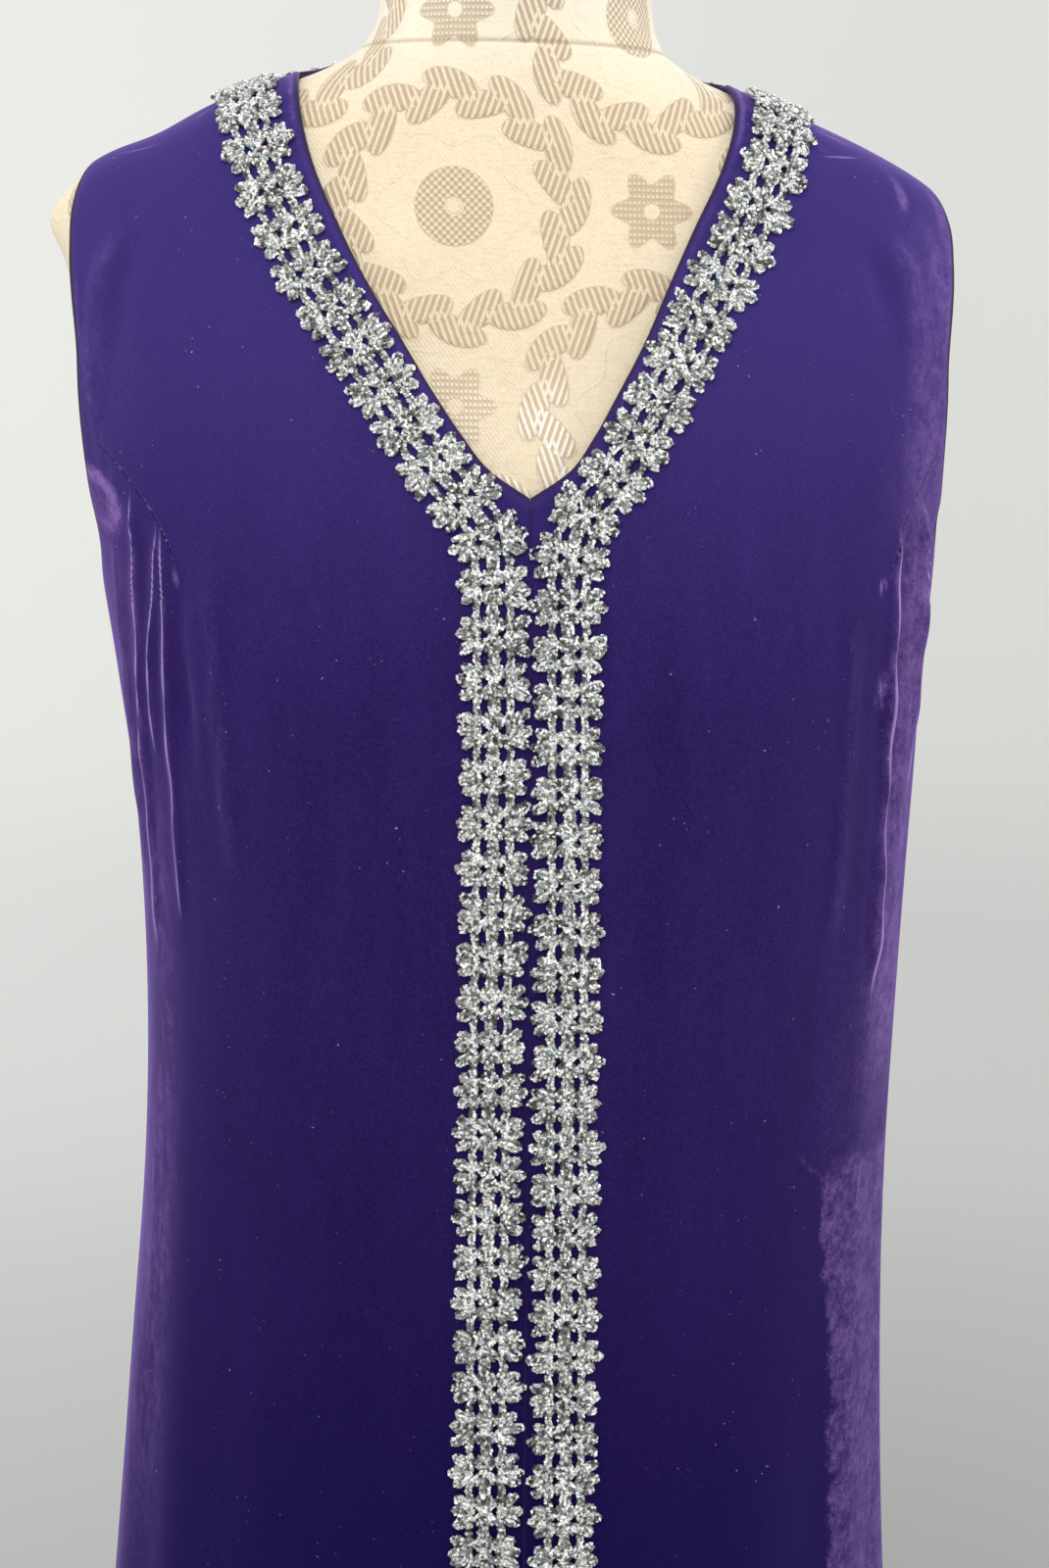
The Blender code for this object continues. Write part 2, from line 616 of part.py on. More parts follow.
def turned(name, profile, finish, centre_y=0.0, steps=40):
    """Solid turned about a vertical line. profile lists radius and height, from the bottom to the top."""
    work = bmesh.new()
    outline = [(0.0, profile[0][1]), *profile, (0.0, profile[-1][1])]
    corners = [work.verts.new((radius, centre_y, z)) for radius, z in outline]
    edges = [work.edges.new(pair) for pair in zip(corners, corners[1:])]
    middle, up = (0.0, centre_y, 0.0), (0.0, 0.0, 1.0)
    bmesh.ops.spin(work, geom=corners + edges, cent=middle, axis=up, angle=2 * math.pi, steps=steps)
    return finished(name, work, finish)


def stand():
    """Round base plate, pole and the collar under the form."""
    turned(
        "stand_base",
        [
            (BASE_RADIUS - BASE_EDGE, 0.0),
            (BASE_RADIUS, BASE_EDGE),
            (BASE_RADIUS, BASE_THICKNESS - BASE_EDGE),
            (BASE_RADIUS - BASE_EDGE, BASE_THICKNESS),
        ],
        STAND_METAL,
        steps=48,
    )
    collar_bottom = FORM_BOTTOM_Z - REST_GAP - COLLAR_HEIGHT
    turned(
        "stand_pole",
        [(POLE_RADIUS, BASE_THICKNESS + REST_GAP), (POLE_RADIUS, collar_bottom - REST_GAP)],
        STAND_METAL,
        steps=20,
    )
    turned(
        "form_collar",
        [
            (COLLAR_RADIUS * 0.7, collar_bottom),
            (COLLAR_RADIUS, collar_bottom + COLLAR_HEIGHT * 0.4),
            (COLLAR_RADIUS, FORM_BOTTOM_Z - REST_GAP),
        ],
        STAND_METAL,
        steps=24,
    )


def neck_cap():
    """Turned wooden cap on the neck."""
    top = read_table(FORM_SECTIONS, FORM_TOP_Z)
    centre_y = (top[2] - top[1]) / 2
    bottom = FORM_TOP_Z + REST_GAP
    profile = [
        (CAP_RADIUS, bottom),
        (CAP_RADIUS * 1.04, bottom + CAP_HEIGHT * 0.20),
        (CAP_RADIUS * 1.00, bottom + CAP_HEIGHT * 0.45),
        (CAP_RADIUS * 0.70, bottom + CAP_HEIGHT * 0.80),
        (CAP_RADIUS * 0.30, bottom + CAP_HEIGHT),
    ]
    turned("neck_cap", profile, CAP_WOOD, centre_y=centre_y, steps=24)


def centre_on_origin():
    """Moves everything so that the whole is centred over the origin."""
    corners = np.array([point.co for made in bpy.data.objects for point in made.data.vertices])
    middle = (corners.min(axis=0) + corners.max(axis=0)) / 2
    for made in bpy.data.objects:
        made.location = (-middle[0], -middle[1], 0.0)


def main():
    for left_over in list(bpy.data.objects):
        bpy.data.objects.remove(left_over)
    wall("front_left", *front_grids(1), VELVET)
    wall("front_right", *front_grids(-1), VELVET)
    wall("back", *back_grids(), VELVET)
    braid("braid_left", 1)
    braid("braid_right", -1)
    dress_form()
    neck_cap()
    stand()
    centre_on_origin()


main()
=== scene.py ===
"""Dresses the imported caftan: crushed velvet, silver flower braid, the covered dress form and its stand.

Metres, +Z up, and the caftan faces -Y. A point of the cloth is given by its turn and its height. The turn is
the angle round the body in degrees, 0 at the centre front and +90 at the wearer's left side.
"""

import math

import bpy
import numpy as np
from bpy.props import FloatProperty, FloatVectorProperty, IntProperty, PointerProperty
from mathutils import Matrix, Vector


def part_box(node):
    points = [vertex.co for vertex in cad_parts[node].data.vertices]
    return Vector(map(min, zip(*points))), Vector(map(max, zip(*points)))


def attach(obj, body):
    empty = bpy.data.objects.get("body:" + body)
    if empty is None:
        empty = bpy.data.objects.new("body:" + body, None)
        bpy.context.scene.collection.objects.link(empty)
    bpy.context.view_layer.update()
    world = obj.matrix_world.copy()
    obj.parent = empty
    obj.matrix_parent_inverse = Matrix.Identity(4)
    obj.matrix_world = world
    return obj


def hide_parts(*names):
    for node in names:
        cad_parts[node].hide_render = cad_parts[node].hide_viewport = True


bl_info = {
    "name": "Velvet caftan",
    "version": (1, 0, 0),
    "blender": (4, 5, 0),
    "location": "View3D > Sidebar > Caftan",
    "description": "Dresses the packed caftan in velvet and flower braid, on its covered form",
    "category": "Object",
}

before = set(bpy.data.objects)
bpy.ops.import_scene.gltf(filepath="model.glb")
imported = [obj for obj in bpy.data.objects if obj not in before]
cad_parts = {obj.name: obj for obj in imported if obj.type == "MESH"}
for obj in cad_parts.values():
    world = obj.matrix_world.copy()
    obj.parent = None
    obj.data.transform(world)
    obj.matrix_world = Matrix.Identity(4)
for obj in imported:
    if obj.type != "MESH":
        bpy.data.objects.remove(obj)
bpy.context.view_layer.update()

POLE_LOW, POLE_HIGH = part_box("stand_pole")
AXIS = np.array([(POLE_LOW.x + POLE_HIGH.x) / 2, (POLE_LOW.y + POLE_HIGH.y) / 2, 0.0])

# Heights of the cut
HEM_Z = 0.050
UNDERARM_Z = 1.190
V_POINT_Z = 1.240
SHOULDER_TIP_Z = 1.372
NECK_POINT_Z = 1.412
BACK_NECK_Z = 1.428
FORM_BOTTOM_Z = 0.740
FORM_TOP_Z = 1.530
NECK_SEAM_Z = 1.4235
SEAM_GAP = 0.0001
SEAM_ROLL = 0.0005

# The shoulders hang a little lower on the wearer's left.
SHOULDER_DROP = 0.016
DROP_RANGE = (1.140, 1.360)
DROP_FADE = (1.430, 1.500)

# The cloth sags a little beside the wearer's right shoulder point.
SHOULDER_SAG = {"x": -0.156, "half_width": 0.017, "depth": 0.0034, "from": (1.330, 1.375)}

# Inner face of the cloth: height, half width, depth to the front and to the back, and squareness.
CLOTH_SECTIONS = (
    (0.050, 0.2480, 0.1860, 0.1860, 2.05),
    (0.250, 0.2310, 0.1700, 0.1700, 2.10),
    (0.500, 0.2080, 0.1500, 0.1530, 2.15),
    (0.700, 0.1895, 0.1370, 0.1410, 2.20),
    (0.800, 0.1820, 0.1330, 0.1350, 2.25),
    (0.900, 0.1765, 0.1310, 0.1290, 2.30),
    (1.000, 0.1750, 0.1300, 0.1210, 2.35),
    (1.080, 0.1775, 0.1305, 0.1130, 2.40),
    (1.150, 0.1825, 0.1270, 0.1080, 2.40),
    (1.190, 0.1868, 0.1215, 0.1070, 2.40),
    (1.215, 0.1890, 0.1165, 0.1067, 2.40),
    (1.240, 0.1950, 0.1105, 0.1060, 2.40),
    (1.290, 0.2045, 0.0960, 0.1030, 2.40),
    (1.335, 0.2055, 0.0810, 0.0960, 2.40),
    (1.355, 0.1980, 0.0745, 0.0910, 2.35),
    (1.372, 0.1820, 0.0695, 0.0860, 2.30),
    (1.385, 0.1600, 0.0660, 0.0820, 2.25),
    (1.398, 0.1295, 0.0630, 0.0790, 2.20),
    (1.412, 0.0945, 0.0600, 0.0765, 2.15),
    (1.428, 0.0790, 0.0575, 0.0735, 2.10),
    (1.440, 0.0730, 0.0565, 0.0700, 2.05),
)

# Surface of the dress form, with the same columns.
FORM_SECTIONS = (
    (0.740, 0.1500, 0.0900, 0.1000, 2.10),
    (0.752, 0.1610, 0.1010, 0.1120, 2.15),
    (0.800, 0.1690, 0.1080, 0.1190, 2.20),
    (0.860, 0.1670, 0.1070, 0.1160, 2.25),
    (0.950, 0.1440, 0.0990, 0.0990, 2.25),
    (1.020, 0.1270, 0.0950, 0.0860, 2.25),
    (1.090, 0.1420, 0.1090, 0.0900, 2.30),
    (1.150, 0.1620, 0.1245, 0.0970, 2.40),
    (1.190, 0.1710, 0.1195, 0.1010, 2.40),
    (1.240, 0.1830, 0.1080, 0.1020, 2.40),
    (1.290, 0.1935, 0.0930, 0.0990, 2.40),
    (1.335, 0.1965, 0.0785, 0.0920, 2.40),
    (1.355, 0.1940, 0.0720, 0.0880, 2.35),
    (1.372, 0.1805, 0.0670, 0.0835, 2.30),
    (1.385, 0.1585, 0.0637, 0.0797, 2.25),
    (1.398, 0.1278, 0.0606, 0.0767, 2.20),
    (1.412, 0.0922, 0.0577, 0.0742, 2.15),
    (1.428, 0.0725, 0.0550, 0.0700, 2.10),
    (1.440, 0.0652, 0.0545, 0.0660, 2.05),
    (1.462, 0.0605, 0.0550, 0.0600, 2.00),
    (1.490, 0.0575, 0.0570, 0.0550, 2.00),
    (1.530, 0.0570, 0.0590, 0.0520, 2.00),
)
SHOULDER_KNOB = {"z": 1.349, "height": 0.017, "below": 1.308, "below_height": 0.024, "turn_width": 9.0}
NECK_PINCH = {"z": 1.425, "share": 0.105, "above": 0.025, "below": 0.013}
NECK_GROOVE = {"share": 0.0011 / 0.070, "half_height": 0.0010}
FORM_SWAY_RANGE = (1.300, 1.335)
SHOULDER_REACH = {"right": 0.0086, "right_below": -0.0042, "left": -0.0080}
BUST = {"x": 0.082, "z": 1.148, "rise": 0.0070, "width": 0.048, "above": 0.050}
BUST_BELOW_FORM = 0.050
BUST_BELOW_CLOTH = 0.170

# How the sides of the cloth hang off centre: height, and shift across at the wearer's right and left sides.
SWAY = (
    # z, right, left
    (0.050, -0.0020, -0.0020),
    (0.500, -0.0040, -0.0040),
    (0.720, -0.0030, -0.0050),
    (0.850, 0.0004, -0.0023),
    (0.930, 0.0045, 0.0000),
    (1.000, 0.0070, 0.0022),
    (1.080, 0.0082, 0.0024),
    (1.110, 0.0080, 0.0020),
    (1.150, 0.0063, 0.0004),
    (1.180, 0.0054, -0.0006),
    (1.215, 0.0032, -0.0008),
    (1.240, 0.0002, -0.0017),
    (1.262, -0.0014, -0.0024),
    (1.290, -0.0025, -0.0026),
    (1.320, -0.0041, -0.0018),
    (1.340, -0.0043, -0.0012),
    (1.356, -0.0026, -0.0020),
    (1.370, -0.0008, -0.0038),
    (1.386, 0.0000, -0.0066),
    (1.400, 0.0000, -0.0068),
    (1.412, 0.0000, -0.0060),
    (1.440, 0.0000, -0.0025),
    (1.470, 0.0000, 0.0000),
)

# Folds that fall from the bust, the darts and the shoulder blades.
FOLDS = (
    # turn_at_hem, turn_at_top, half_width_degrees, height_at_hem, top_z
    (-152.0, -148.0, 13.0, 0.0190, 1.08),
    (-124.0, -120.0, 11.0, 0.0220, 1.05),
    (-99.0, -96.0, 10.0, 0.0170, 1.00),
    (-76.0, -70.0, 9.0, 0.0190, 1.14),
    (-55.0, -55.0, 9.0, 0.0180, 1.12),
    (-33.0, -38.0, 9.0, 0.0160, 0.98),
    (31.0, 36.0, 10.0, 0.0150, 0.94),
    (53.0, 56.0, 9.0, 0.0210, 1.13),
    (76.0, 72.0, 9.0, 0.0180, 1.15),
    (101.0, 98.0, 10.0, 0.0190, 1.02),
    (127.0, 122.0, 12.0, 0.0210, 1.06),
    (155.0, 150.0, 12.0, 0.0190, 1.08),
    (180.0, 180.0, 11.0, 0.0130, 0.95),
)

# The folds deepen faster than they fall, and there are none beside the centre front.
FOLD_GROWTH = 1.15
FOLD_FREE_TURNS = (3.0, 16.0)

# Front neckline: height, and width from the middle on the wearer's right and left. Behind, it rises over the
# first turns.
NECKLINE = (
    # z, right, left
    (1.2400, 0.0000, 0.0000),
    (1.2500, 0.0152, 0.0152),
    (1.2640, 0.0270, 0.0260),
    (1.2800, 0.0380, 0.0353),
    (1.3020, 0.0514, 0.0474),
    (1.3260, 0.0660, 0.0584),
    (1.3500, 0.0780, 0.0698),
    (1.3730, 0.0880, 0.0820),
    (1.3930, 0.0930, 0.0906),
    (1.4060, 0.0944, 0.0941),
    (1.4120, 0.0945, 0.0945),
)
BACK_NECK_RISE_TURN = 50.0
ARMHOLE_FRONT = 0.050
ARMHOLE_BACK = 0.046
ARMHOLE_SHAPE = 2.3

# Paler areas of pile: crushed pile beside the patch, and painted sheen down both sides and beside the armhole
# on the wearer's left. For each, turns over which it comes in and goes out, the same for heights, and how
# strongly it shows evenly and in each pattern of the pile.
CRUSH_AND_SHEEN_AREAS = (
    ((38.0, 50.0), (66.0, 84.0), (0.925, 0.950), (1.000, 1.070), 0.03, {"crush": 0.16}),
    ((43.0, 60.0), (70.0, 84.0), (1.205, 1.262), (1.330, 1.376), 0.18, {"mottle": 0.22, "crush": 0.30}),
    ((50.0, 62.0), (88.0, 110.0), (0.930, 1.020), (1.200, 1.260), 0.18, {"mottle": 0.24, "crush": 0.36}),
    ((-104.0, -84.0), (-66.0, -54.0), (0.70, 0.90), (1.22, 1.27), 0.036, {"mottle": 0.090, "bands": 0.063}),
    ((-104.0, -84.0), (-66.0, -54.0), (0.70, 0.90), (1.05, 1.13), 0.044, {"mottle": 0.110, "bands": 0.077}),
)

# Paler round spots of pile: turn and height of the middle, half width in degrees, half height, and strength.
PALE_SPOTS = (
    (52.2, 1.156, 1.9, 0.011, 0.0, {"mottle": 1.10}),
    (50.6, 1.201, 1.6, 0.005, 0.0, {"streak": 0.80}),
    (-48.6, 1.204, 0.9, 0.005, 0.50, {}),
    (-52.0, 1.285, 9.0, 0.050, 0.11, {}),
    (-60.0, 1.285, 3.0, 0.050, 0.0, {"mottle": 0.46}),
    (50.8, 1.384, 3.4, 0.005, 0.16, {}),
)

# Pale streaks on the shoulders, painted highlights along the shoulder line and on small creases there: turn
# and height of both ends, half width, and strength.
SHOULDER_HIGHLIGHTS = (
    ((62.3, 1.3930), (64.6, 1.3830), 0.0016, 0.50, {}),
    ((45.5, 1.3800), (60.5, 1.3802), 0.0006, 0.90, {}),
    ((65.0, 1.3795), (52.0, 1.3550), 0.0034, 0.18, {"mottle": 0.52}),
    ((72.5, 1.3690), (61.5, 1.3490), 0.0028, 0.20, {"mottle": 0.60}),
    ((62.4, 1.3920), (65.6, 1.3850), 0.0020, 0.20, {"mottle": 0.60}),
    ((-74.0, 1.3745), (-62.5, 1.3830), 0.0009, 0.62, {}),
    ((-64.0, 1.3880), (-70.0, 1.3960), 0.0016, 0.42, {}),
)
METRES_PER_DEGREE = 0.0017

# Front edge of the crushed patch as heights and turns, and its top, which is a little lower past the hook.
PATCH_EDGE = ((0.05, 52.0), (0.754, 48.2), (0.846, 48.6), (0.90, 46.6), (0.95, 45.0))
PATCH_TOP_Z = 0.9405
PATCH_HOOK_TURN = 46.0

# The softer match of the patch on the wearer's right, and the bruise beside the right dart.
HOLLOW = {"turn": -66.0, "half_turn": 12.0}
BRUISE = {"turn": -67.5, "half_turn": 7.6, "z": 1.2335, "half_height": 0.0128}

# Distances from an open edge over which the cloth is dark where it turns in, paler where it rolls, which is a
# painted highlight on the roll, and bare of pile at the armholes.
EDGE_TURNED = (0.0008, 0.0016)
EDGE_ROLL_HIGHLIGHT = ((0.0016, 0.0024), (0.0030, 0.0060))
EDGE_BARE = (0.0021, 0.0033)
BARE_HEIGHTS = ((1.150, 1.200), (1.370, 1.384))
BARE_TURNS = (43.0, 50.0)

# Pale lines in the crushed patch: width, then the turn and height of their points, from the top down.
PATCH_LINES = (
    (0.0036, ((39.5, 0.9560), (42.5, 0.9470), (46.0, 0.9400), (46.4, 0.9320), (45.4, 0.9240))),
    (0.0042, ((52.5, 0.9270), (50.5, 0.9220), (48.8, 0.9170), (46.0, 0.9120))),
    (0.0030, ((57.5, 0.9420), (57.0, 0.9300), (57.2, 0.9130))),
)

# Small creases: half width and height in metres, then the turn and height of points that each runs through,
# from its top down. A height below zero is a trough.
CREASES = (
    (0.0042, 0.0024, ((-55.0, 1.236), (-59.8, 1.202), (-62.5, 1.166), (-66.2, 1.120), (-67.5, 1.040))),
    (0.0035, 0.0020, ((-50.8, 1.224), (-54.5, 1.196), (-59.2, 1.162), (-61.0, 1.130))),
    (0.0034, 0.0024, ((-50.0, 1.222), (-51.8, 1.196), (-53.2, 1.168), (-55.5, 1.124), (-56.4, 1.060))),
    (0.0055, 0.0020, ((-64.8, 1.218), (-70.8, 1.162), (-72.8, 1.118), (-73.0, 1.060))),
    (0.0060, -0.0022, ((-47.0, 1.212), (-49.5, 1.180), (-50.0, 1.120))),
    (0.0050, 0.0018, ((-41.0, 1.205), (-42.0, 1.150), (-41.0, 1.080))),
    (0.0040, 0.0040, ((54.0, 1.224), (54.6, 1.202), (54.8, 1.184), (55.0, 1.150), (56.2, 1.1), (57.0, 1.02))),
    (0.0075, -0.0038, ((58.0, 1.228), (59.5, 1.200), (60.0, 1.150), (61.0, 1.090))),
    (0.0038, 0.0036, ((61.0, 1.234), (66.3, 1.208), (67.4, 1.186), (68.2, 1.160), (68.0, 1.110))),
    (0.0060, -0.0026, ((70.0, 1.232), (73.0, 1.200), (74.0, 1.140))),
    (0.0060, 0.0012, ((44.0, 1.190), (45.0, 1.130), (44.0, 1.050))),
    (0.0085, 0.0024, ((-51.0, 1.345), (-55.0, 1.308), (-58.5, 1.272), (-60.0, 1.240))),
    (0.0075, -0.0026, ((-47.0, 1.345), (-49.5, 1.318), (-52.5, 1.285))),
    (0.0080, 0.0026, ((47.0, 1.350), (50.0, 1.318), (53.0, 1.276))),
    (0.0080, -0.0020, ((42.0, 1.345), (44.0, 1.318), (46.0, 1.290))),
    (0.0070, 0.0024, ((118.0, 1.215), (112.0, 1.170), (110.0, 1.090))),
    (0.0060, 0.0020, ((101.0, 1.175), (99.0, 1.120), (100.0, 1.040))),
    (0.0080, 0.0022, ((134.0, 1.150), (131.0, 1.090), (132.0, 1.010))),
    (0.0070, 0.0026, ((-116.0, 1.210), (-113.0, 1.150), (-115.0, 1.070))),
    (0.0060, 0.0018, ((-98.0, 1.170), (-97.0, 1.110), (-98.0, 1.030))),
    (0.0080, 0.0024, ((-137.0, 1.155), (-135.0, 1.090), (-133.0, 1.000))),
    (0.0090, 0.0016, ((172.0, 1.160), (174.0, 1.080), (173.0, 0.990))),
    (0.0046, 0.0026, ((116.0, 1.262), (124.0, 1.232), (128.0, 1.190), (127.0, 1.130))),
    (0.0048, 0.0024, ((-113.0, 1.255), (-122.0, 1.215), (-127.0, 1.170), (-126.0, 1.120))),
    (0.0046, 0.0026, ((106.0, 1.225), (104.0, 1.190), (104.5, 1.130), (106.0, 1.070))),
    (0.0048, 0.0024, ((-106.0, 1.222), (-104.0, 1.180), (-105.0, 1.100))),
    (0.0090, 0.0026, ((124.0, 1.345), (132.0, 1.300), (138.0, 1.240))),
    (0.0085, 0.0024, ((-122.0, 1.340), (-131.0, 1.290), (-136.0, 1.235))),
    (0.0095, 0.0018, ((154.0, 1.330), (158.0, 1.260), (159.0, 1.190))),
    (0.0095, 0.0018, ((-156.0, 1.320), (-159.0, 1.250), (-158.0, 1.180))),
)
CREASE_FADE = 0.022

# Creases of this half width or more pale the pile softly, and narrower ones leave a pale line: partly worn
# pile, partly a painted highlight on the ridge.
BROAD_CREASE = 0.005

# Radius of the body where lines drawn on the cloth are measured, and how their ends fade in and out.
BODY_RADIUS = 0.165
LINE_FADE_IN = (-0.006, 0.012)
LINE_FADE_OUT = (-0.012, 0.004)
LINE_REACH = 1.3

# The form's woven pattern: middles of two wreaths, half their repeat across and up, and their leaves.
WREATHS = ((-0.0300, 1.3560), (0.0520, 1.2760))
WREATH_REPEAT = (0.0820, 0.0800)
LEAVES = {"count": 12, "radius": 0.0465, "apart": 0.0034, "lean": 23.0, "length": 0.0124, "width": 0.0058}

# Darts from the armholes: turn and height of points along the sewn line.
DART_RIGHT = ((-68.5, 1.268), (-62.2, 1.261), (-59.2, 1.256), (-54.5, 1.244), (-50.2, 1.228), (-48.0, 1.208))
DART_LEFT = ((69.0, 1.268), (62.8, 1.258), (57.8, 1.241), (54.6, 1.226), (53.4, 1.214), (52.8, 1.206))

# Braid
BRAID_PITCH = 0.0190
BRAID_END_ABOVE_HEM = 0.0020
BRAID_MEETING_GAP = 0.0002
BRAID_LIFT = 0.0007
BRAID_RIDGE_LIFT = 0.0006
BRAID_RIDGE = (1.365, 1.385)
BRAID_COLUMN_X = 0.0156
BRAID_COLUMN_SPREAD = 0.0040
BRAID_TURN_Z = 1.2180
BRAID_INSET = ((0.0, 0.0165), (0.23, 0.0168), (0.36, 0.0206), (0.65, 0.0200), (0.85, 0.0162), (1.0, 0.0155))
BRAID_CORNER = 0.0040
BRAID_STEP = 0.0020

# Petals of one flower: root and tip, as places along the braid and out from its middle, and width.
PETALS = (
    ((0.0000, 0.0052), (0.0000, 0.0146), 0.0054),
    ((0.0018, 0.0050), (0.0066, 0.0130), 0.0050),
    ((-0.0018, 0.0050), (-0.0066, 0.0130), 0.0050),
)

# The rest of one flower, for one side of the braid: places along it, out from its middle, and high.
ARM = (
    (-0.0095, 0.0070, 0.0013),
    (-0.0070, 0.0066, 0.0014),
    (-0.0044, 0.0050, 0.0017),
    (-0.0020, 0.0022, 0.0021),
    (0.0000, 0.0000, 0.0023),
    (0.0020, -0.0022, 0.0021),
    (0.0044, -0.0050, 0.0017),
    (0.0070, -0.0066, 0.0014),
    (0.0095, -0.0070, 0.0013),
)
ARM_STRANDS = (0.00085, -0.00085)
FILLING = (
    ((0.0014, 0.0004, 0.0020), (0.0058, 0.0010, 0.0016)),
    ((-0.0014, 0.0004, 0.0020), (-0.0058, 0.0010, 0.0016)),
    ((0.0032, 0.0022, 0.0018), (0.0066, 0.0032, 0.0013)),
    ((-0.0032, 0.0022, 0.0018), (-0.0066, 0.0032, 0.0013)),
    ((-0.0044, 0.0058, 0.0018), (0.0044, 0.0058, 0.0018)),
    ((-0.0062, 0.0072, 0.0013), (0.0062, 0.0072, 0.0013)),
)
BUTTON = {"length": 0.0042, "width": 0.0019, "high": 0.0017}
PETAL_HEIGHT = 0.0011
PETAL_ARCH = 0.0004
PETAL_INSET = 0.0006
PETAL_FULLNESS = (0.80, 0.34)
RIB_HEIGHTS = (0.0016, 0.0019, 0.0021, 0.0020, 0.0017)

# Cushions under the thread of one flower, for one side of the braid: two ends, and half width.
CUSHIONS = (
    *((root, tip, width / 2 - 0.0002) for root, tip, width in PETALS),
    ((-0.0062, 0.0064), (0.0062, 0.0064), 0.0013),
    ((-0.0097, 0.0070), (-0.0048, 0.0059), 0.0012),
    ((0.0048, 0.0059), (0.0097, 0.0070), 0.0012),
    ((0.0, 0.0), (0.0056, 0.0056), 0.0015),
    ((0.0, 0.0), (-0.0056, 0.0056), 0.0015),
    ((0.0016, 0.0012), (0.0072, 0.0030), 0.0013),
    ((-0.0016, 0.0012), (-0.0072, 0.0030), 0.0013),
)
CUSHION_LEVELS = ((0.0001, 0.96), (0.0010, 0.88))
CUSHION_TOP = 0.0017
CUSHION_OUTLINE = ((0.0, 0.0), (0.22, -0.85), (0.78, -0.95), (1.0, 0.0), (0.78, 0.95), (0.22, 0.85))

# How far flowers and grains stray from the pattern, and how far the half towards the neck is stretched.
STRAY = {"shift": 0.00035, "spread": 0.045, "bend": 0.05, "grain": 0.00016, "size": 0.12, "shade": 0.06}
TWIST = {"lay": 34.0, "spread": 0.22, "tilt": 0.28}
NECK_SIDE_STRETCH = {"behind": 1.24, "front": 1.07}

# Lightness of the grains of thread, and how many of them have it.
THREAD_SHADES = (0.14, 0.50, 0.90, 1.0)
THREAD_SHARES = (0.15, 0.23, 0.30, 0.32)
CUSHION_SHADE = 0.62

# A few grains are tinted: the share of them, and the tint.
COOL_GRAINS = (0.035, (0.72, 1.0, 1.05))
WARM_GRAINS = (0.030, (1.05, 0.84, 0.98))
LOWEST_GRAIN = 0.0006

# Stretches of each braid, as shares of its length, and the seed of its chance.
STRETCHES = (("hem", 0.0, 0.40), ("front", 0.40, 0.745), ("neck", 0.745, 1.0))
BRAID_SEEDS = {"left": 11, "right": 47}

# Degrees past which an edge of a turned piece, and of the form, is sharp
TURNED_EDGE_ANGLE = 38.0
FORM_EDGE_ANGLE = 50.0

# Outlines of the turned pieces: share of the radius, and share of the height.
CAP_OUTLINE = (
    (0.90, 0.0), (0.97, 0.04), (1.0, 0.14), (0.985, 0.24), (0.93, 0.30), (0.935, 0.36),
    (0.90, 0.50), (0.80, 0.66), (0.66, 0.80), (0.48, 0.91), (0.28, 0.975), (0.10, 1.0),
)
COLLAR_OUTLINE = (
    (0.62, 0.0), (0.69, 0.02), (0.71, 0.08), (0.78, 0.20), (0.90, 0.32), (0.985, 0.40), (1.0, 0.46),
    (1.0, 0.80), (0.97, 0.83), (0.97, 0.87), (1.0, 0.90), (1.0, 0.98), (0.98, 1.0),
)

# Outline of the base plate: its foot and rim from the edge, and the seat of the pole from the middle.
BASE_FOOT = ((-0.0022, 0.0), (-0.0006, 0.0006), (0.0, 0.0022))
BASE_RIM = ((0.0, -0.0032), (-0.0004, -0.0018), (-0.0014, -0.0006), (-0.0030, 0.0))
BASE_HUB = ((0.030, 0.0), (0.0290, -0.0004), (0.0285, -0.0016), (0.0150, -0.0016))
POLE_BEVEL = 0.0008

# The stage: a round floor that bends up into a wall.
FLOOR_RADIUS = 5.0
WALL_BEND = 1.6
WALL_TOP = 4.2

# The paper by distance from the middle: how pale it is, which paints shade underfoot, how it glows, a painted
# light though it is no lamp, and how much one side is darker, painted shade.
PAPER_PALE = ((1.2, 0.42), (1.95, 0.485), (3.2, 0.555), (4.3, 0.605), (6.6, 0.705))
PAPER_GLOW = ((1.2, 0.03), (1.95, 0.09), (2.5, 0.17), (3.2, 0.235), (4.3, 0.28), (6.6, 0.305))
PAPER_SIDE_SHADE = ((1.2, 0.190), (3.2, 0.162), (6.6, 0.128))

# Lights: place, point that each is turned to, size, power and colour.
LIGHTS = {
    "Key light": ((-0.35, -1.25, 2.30), (0.0, 0.0, 1.20), 0.9, 12.5, (1.0, 0.97, 0.93)),
    "Right light": ((2.2, -0.4, 1.9), (0.1, 0.0, 1.1), 1.0, 22.0, (1.0, 0.98, 0.96)),
    "Left light": ((-2.2, -0.2, 2.0), (-0.1, 0.0, 1.1), 1.0, 11.0, (0.97, 0.98, 1.0)),
    "Back light": ((0.6, 2.4, 2.4), (0.0, 0.0, 1.0), 1.6, 22.0, (1.0, 1.0, 1.0)),
}
ROOM_COLOUR = (0.93, 0.96, 1.0, 1.0)
ROOM_POWER = 0.70
CAMERA = {"lens": 54.11, "height": 1.3258, "distance": 1.070, "aim": 0.0073}
CAMERA_ANGLES = {"yaw": -3.5, "pitch": 12.0, "roll": 0.5}


def step(low, high, value):
    """0 below low, 1 above high, and a smooth rise between."""
    t = np.clip((np.asarray(value, float) - low) / (high - low), 0.0, 1.0)
    return t * t * (3.0 - 2.0 * t)


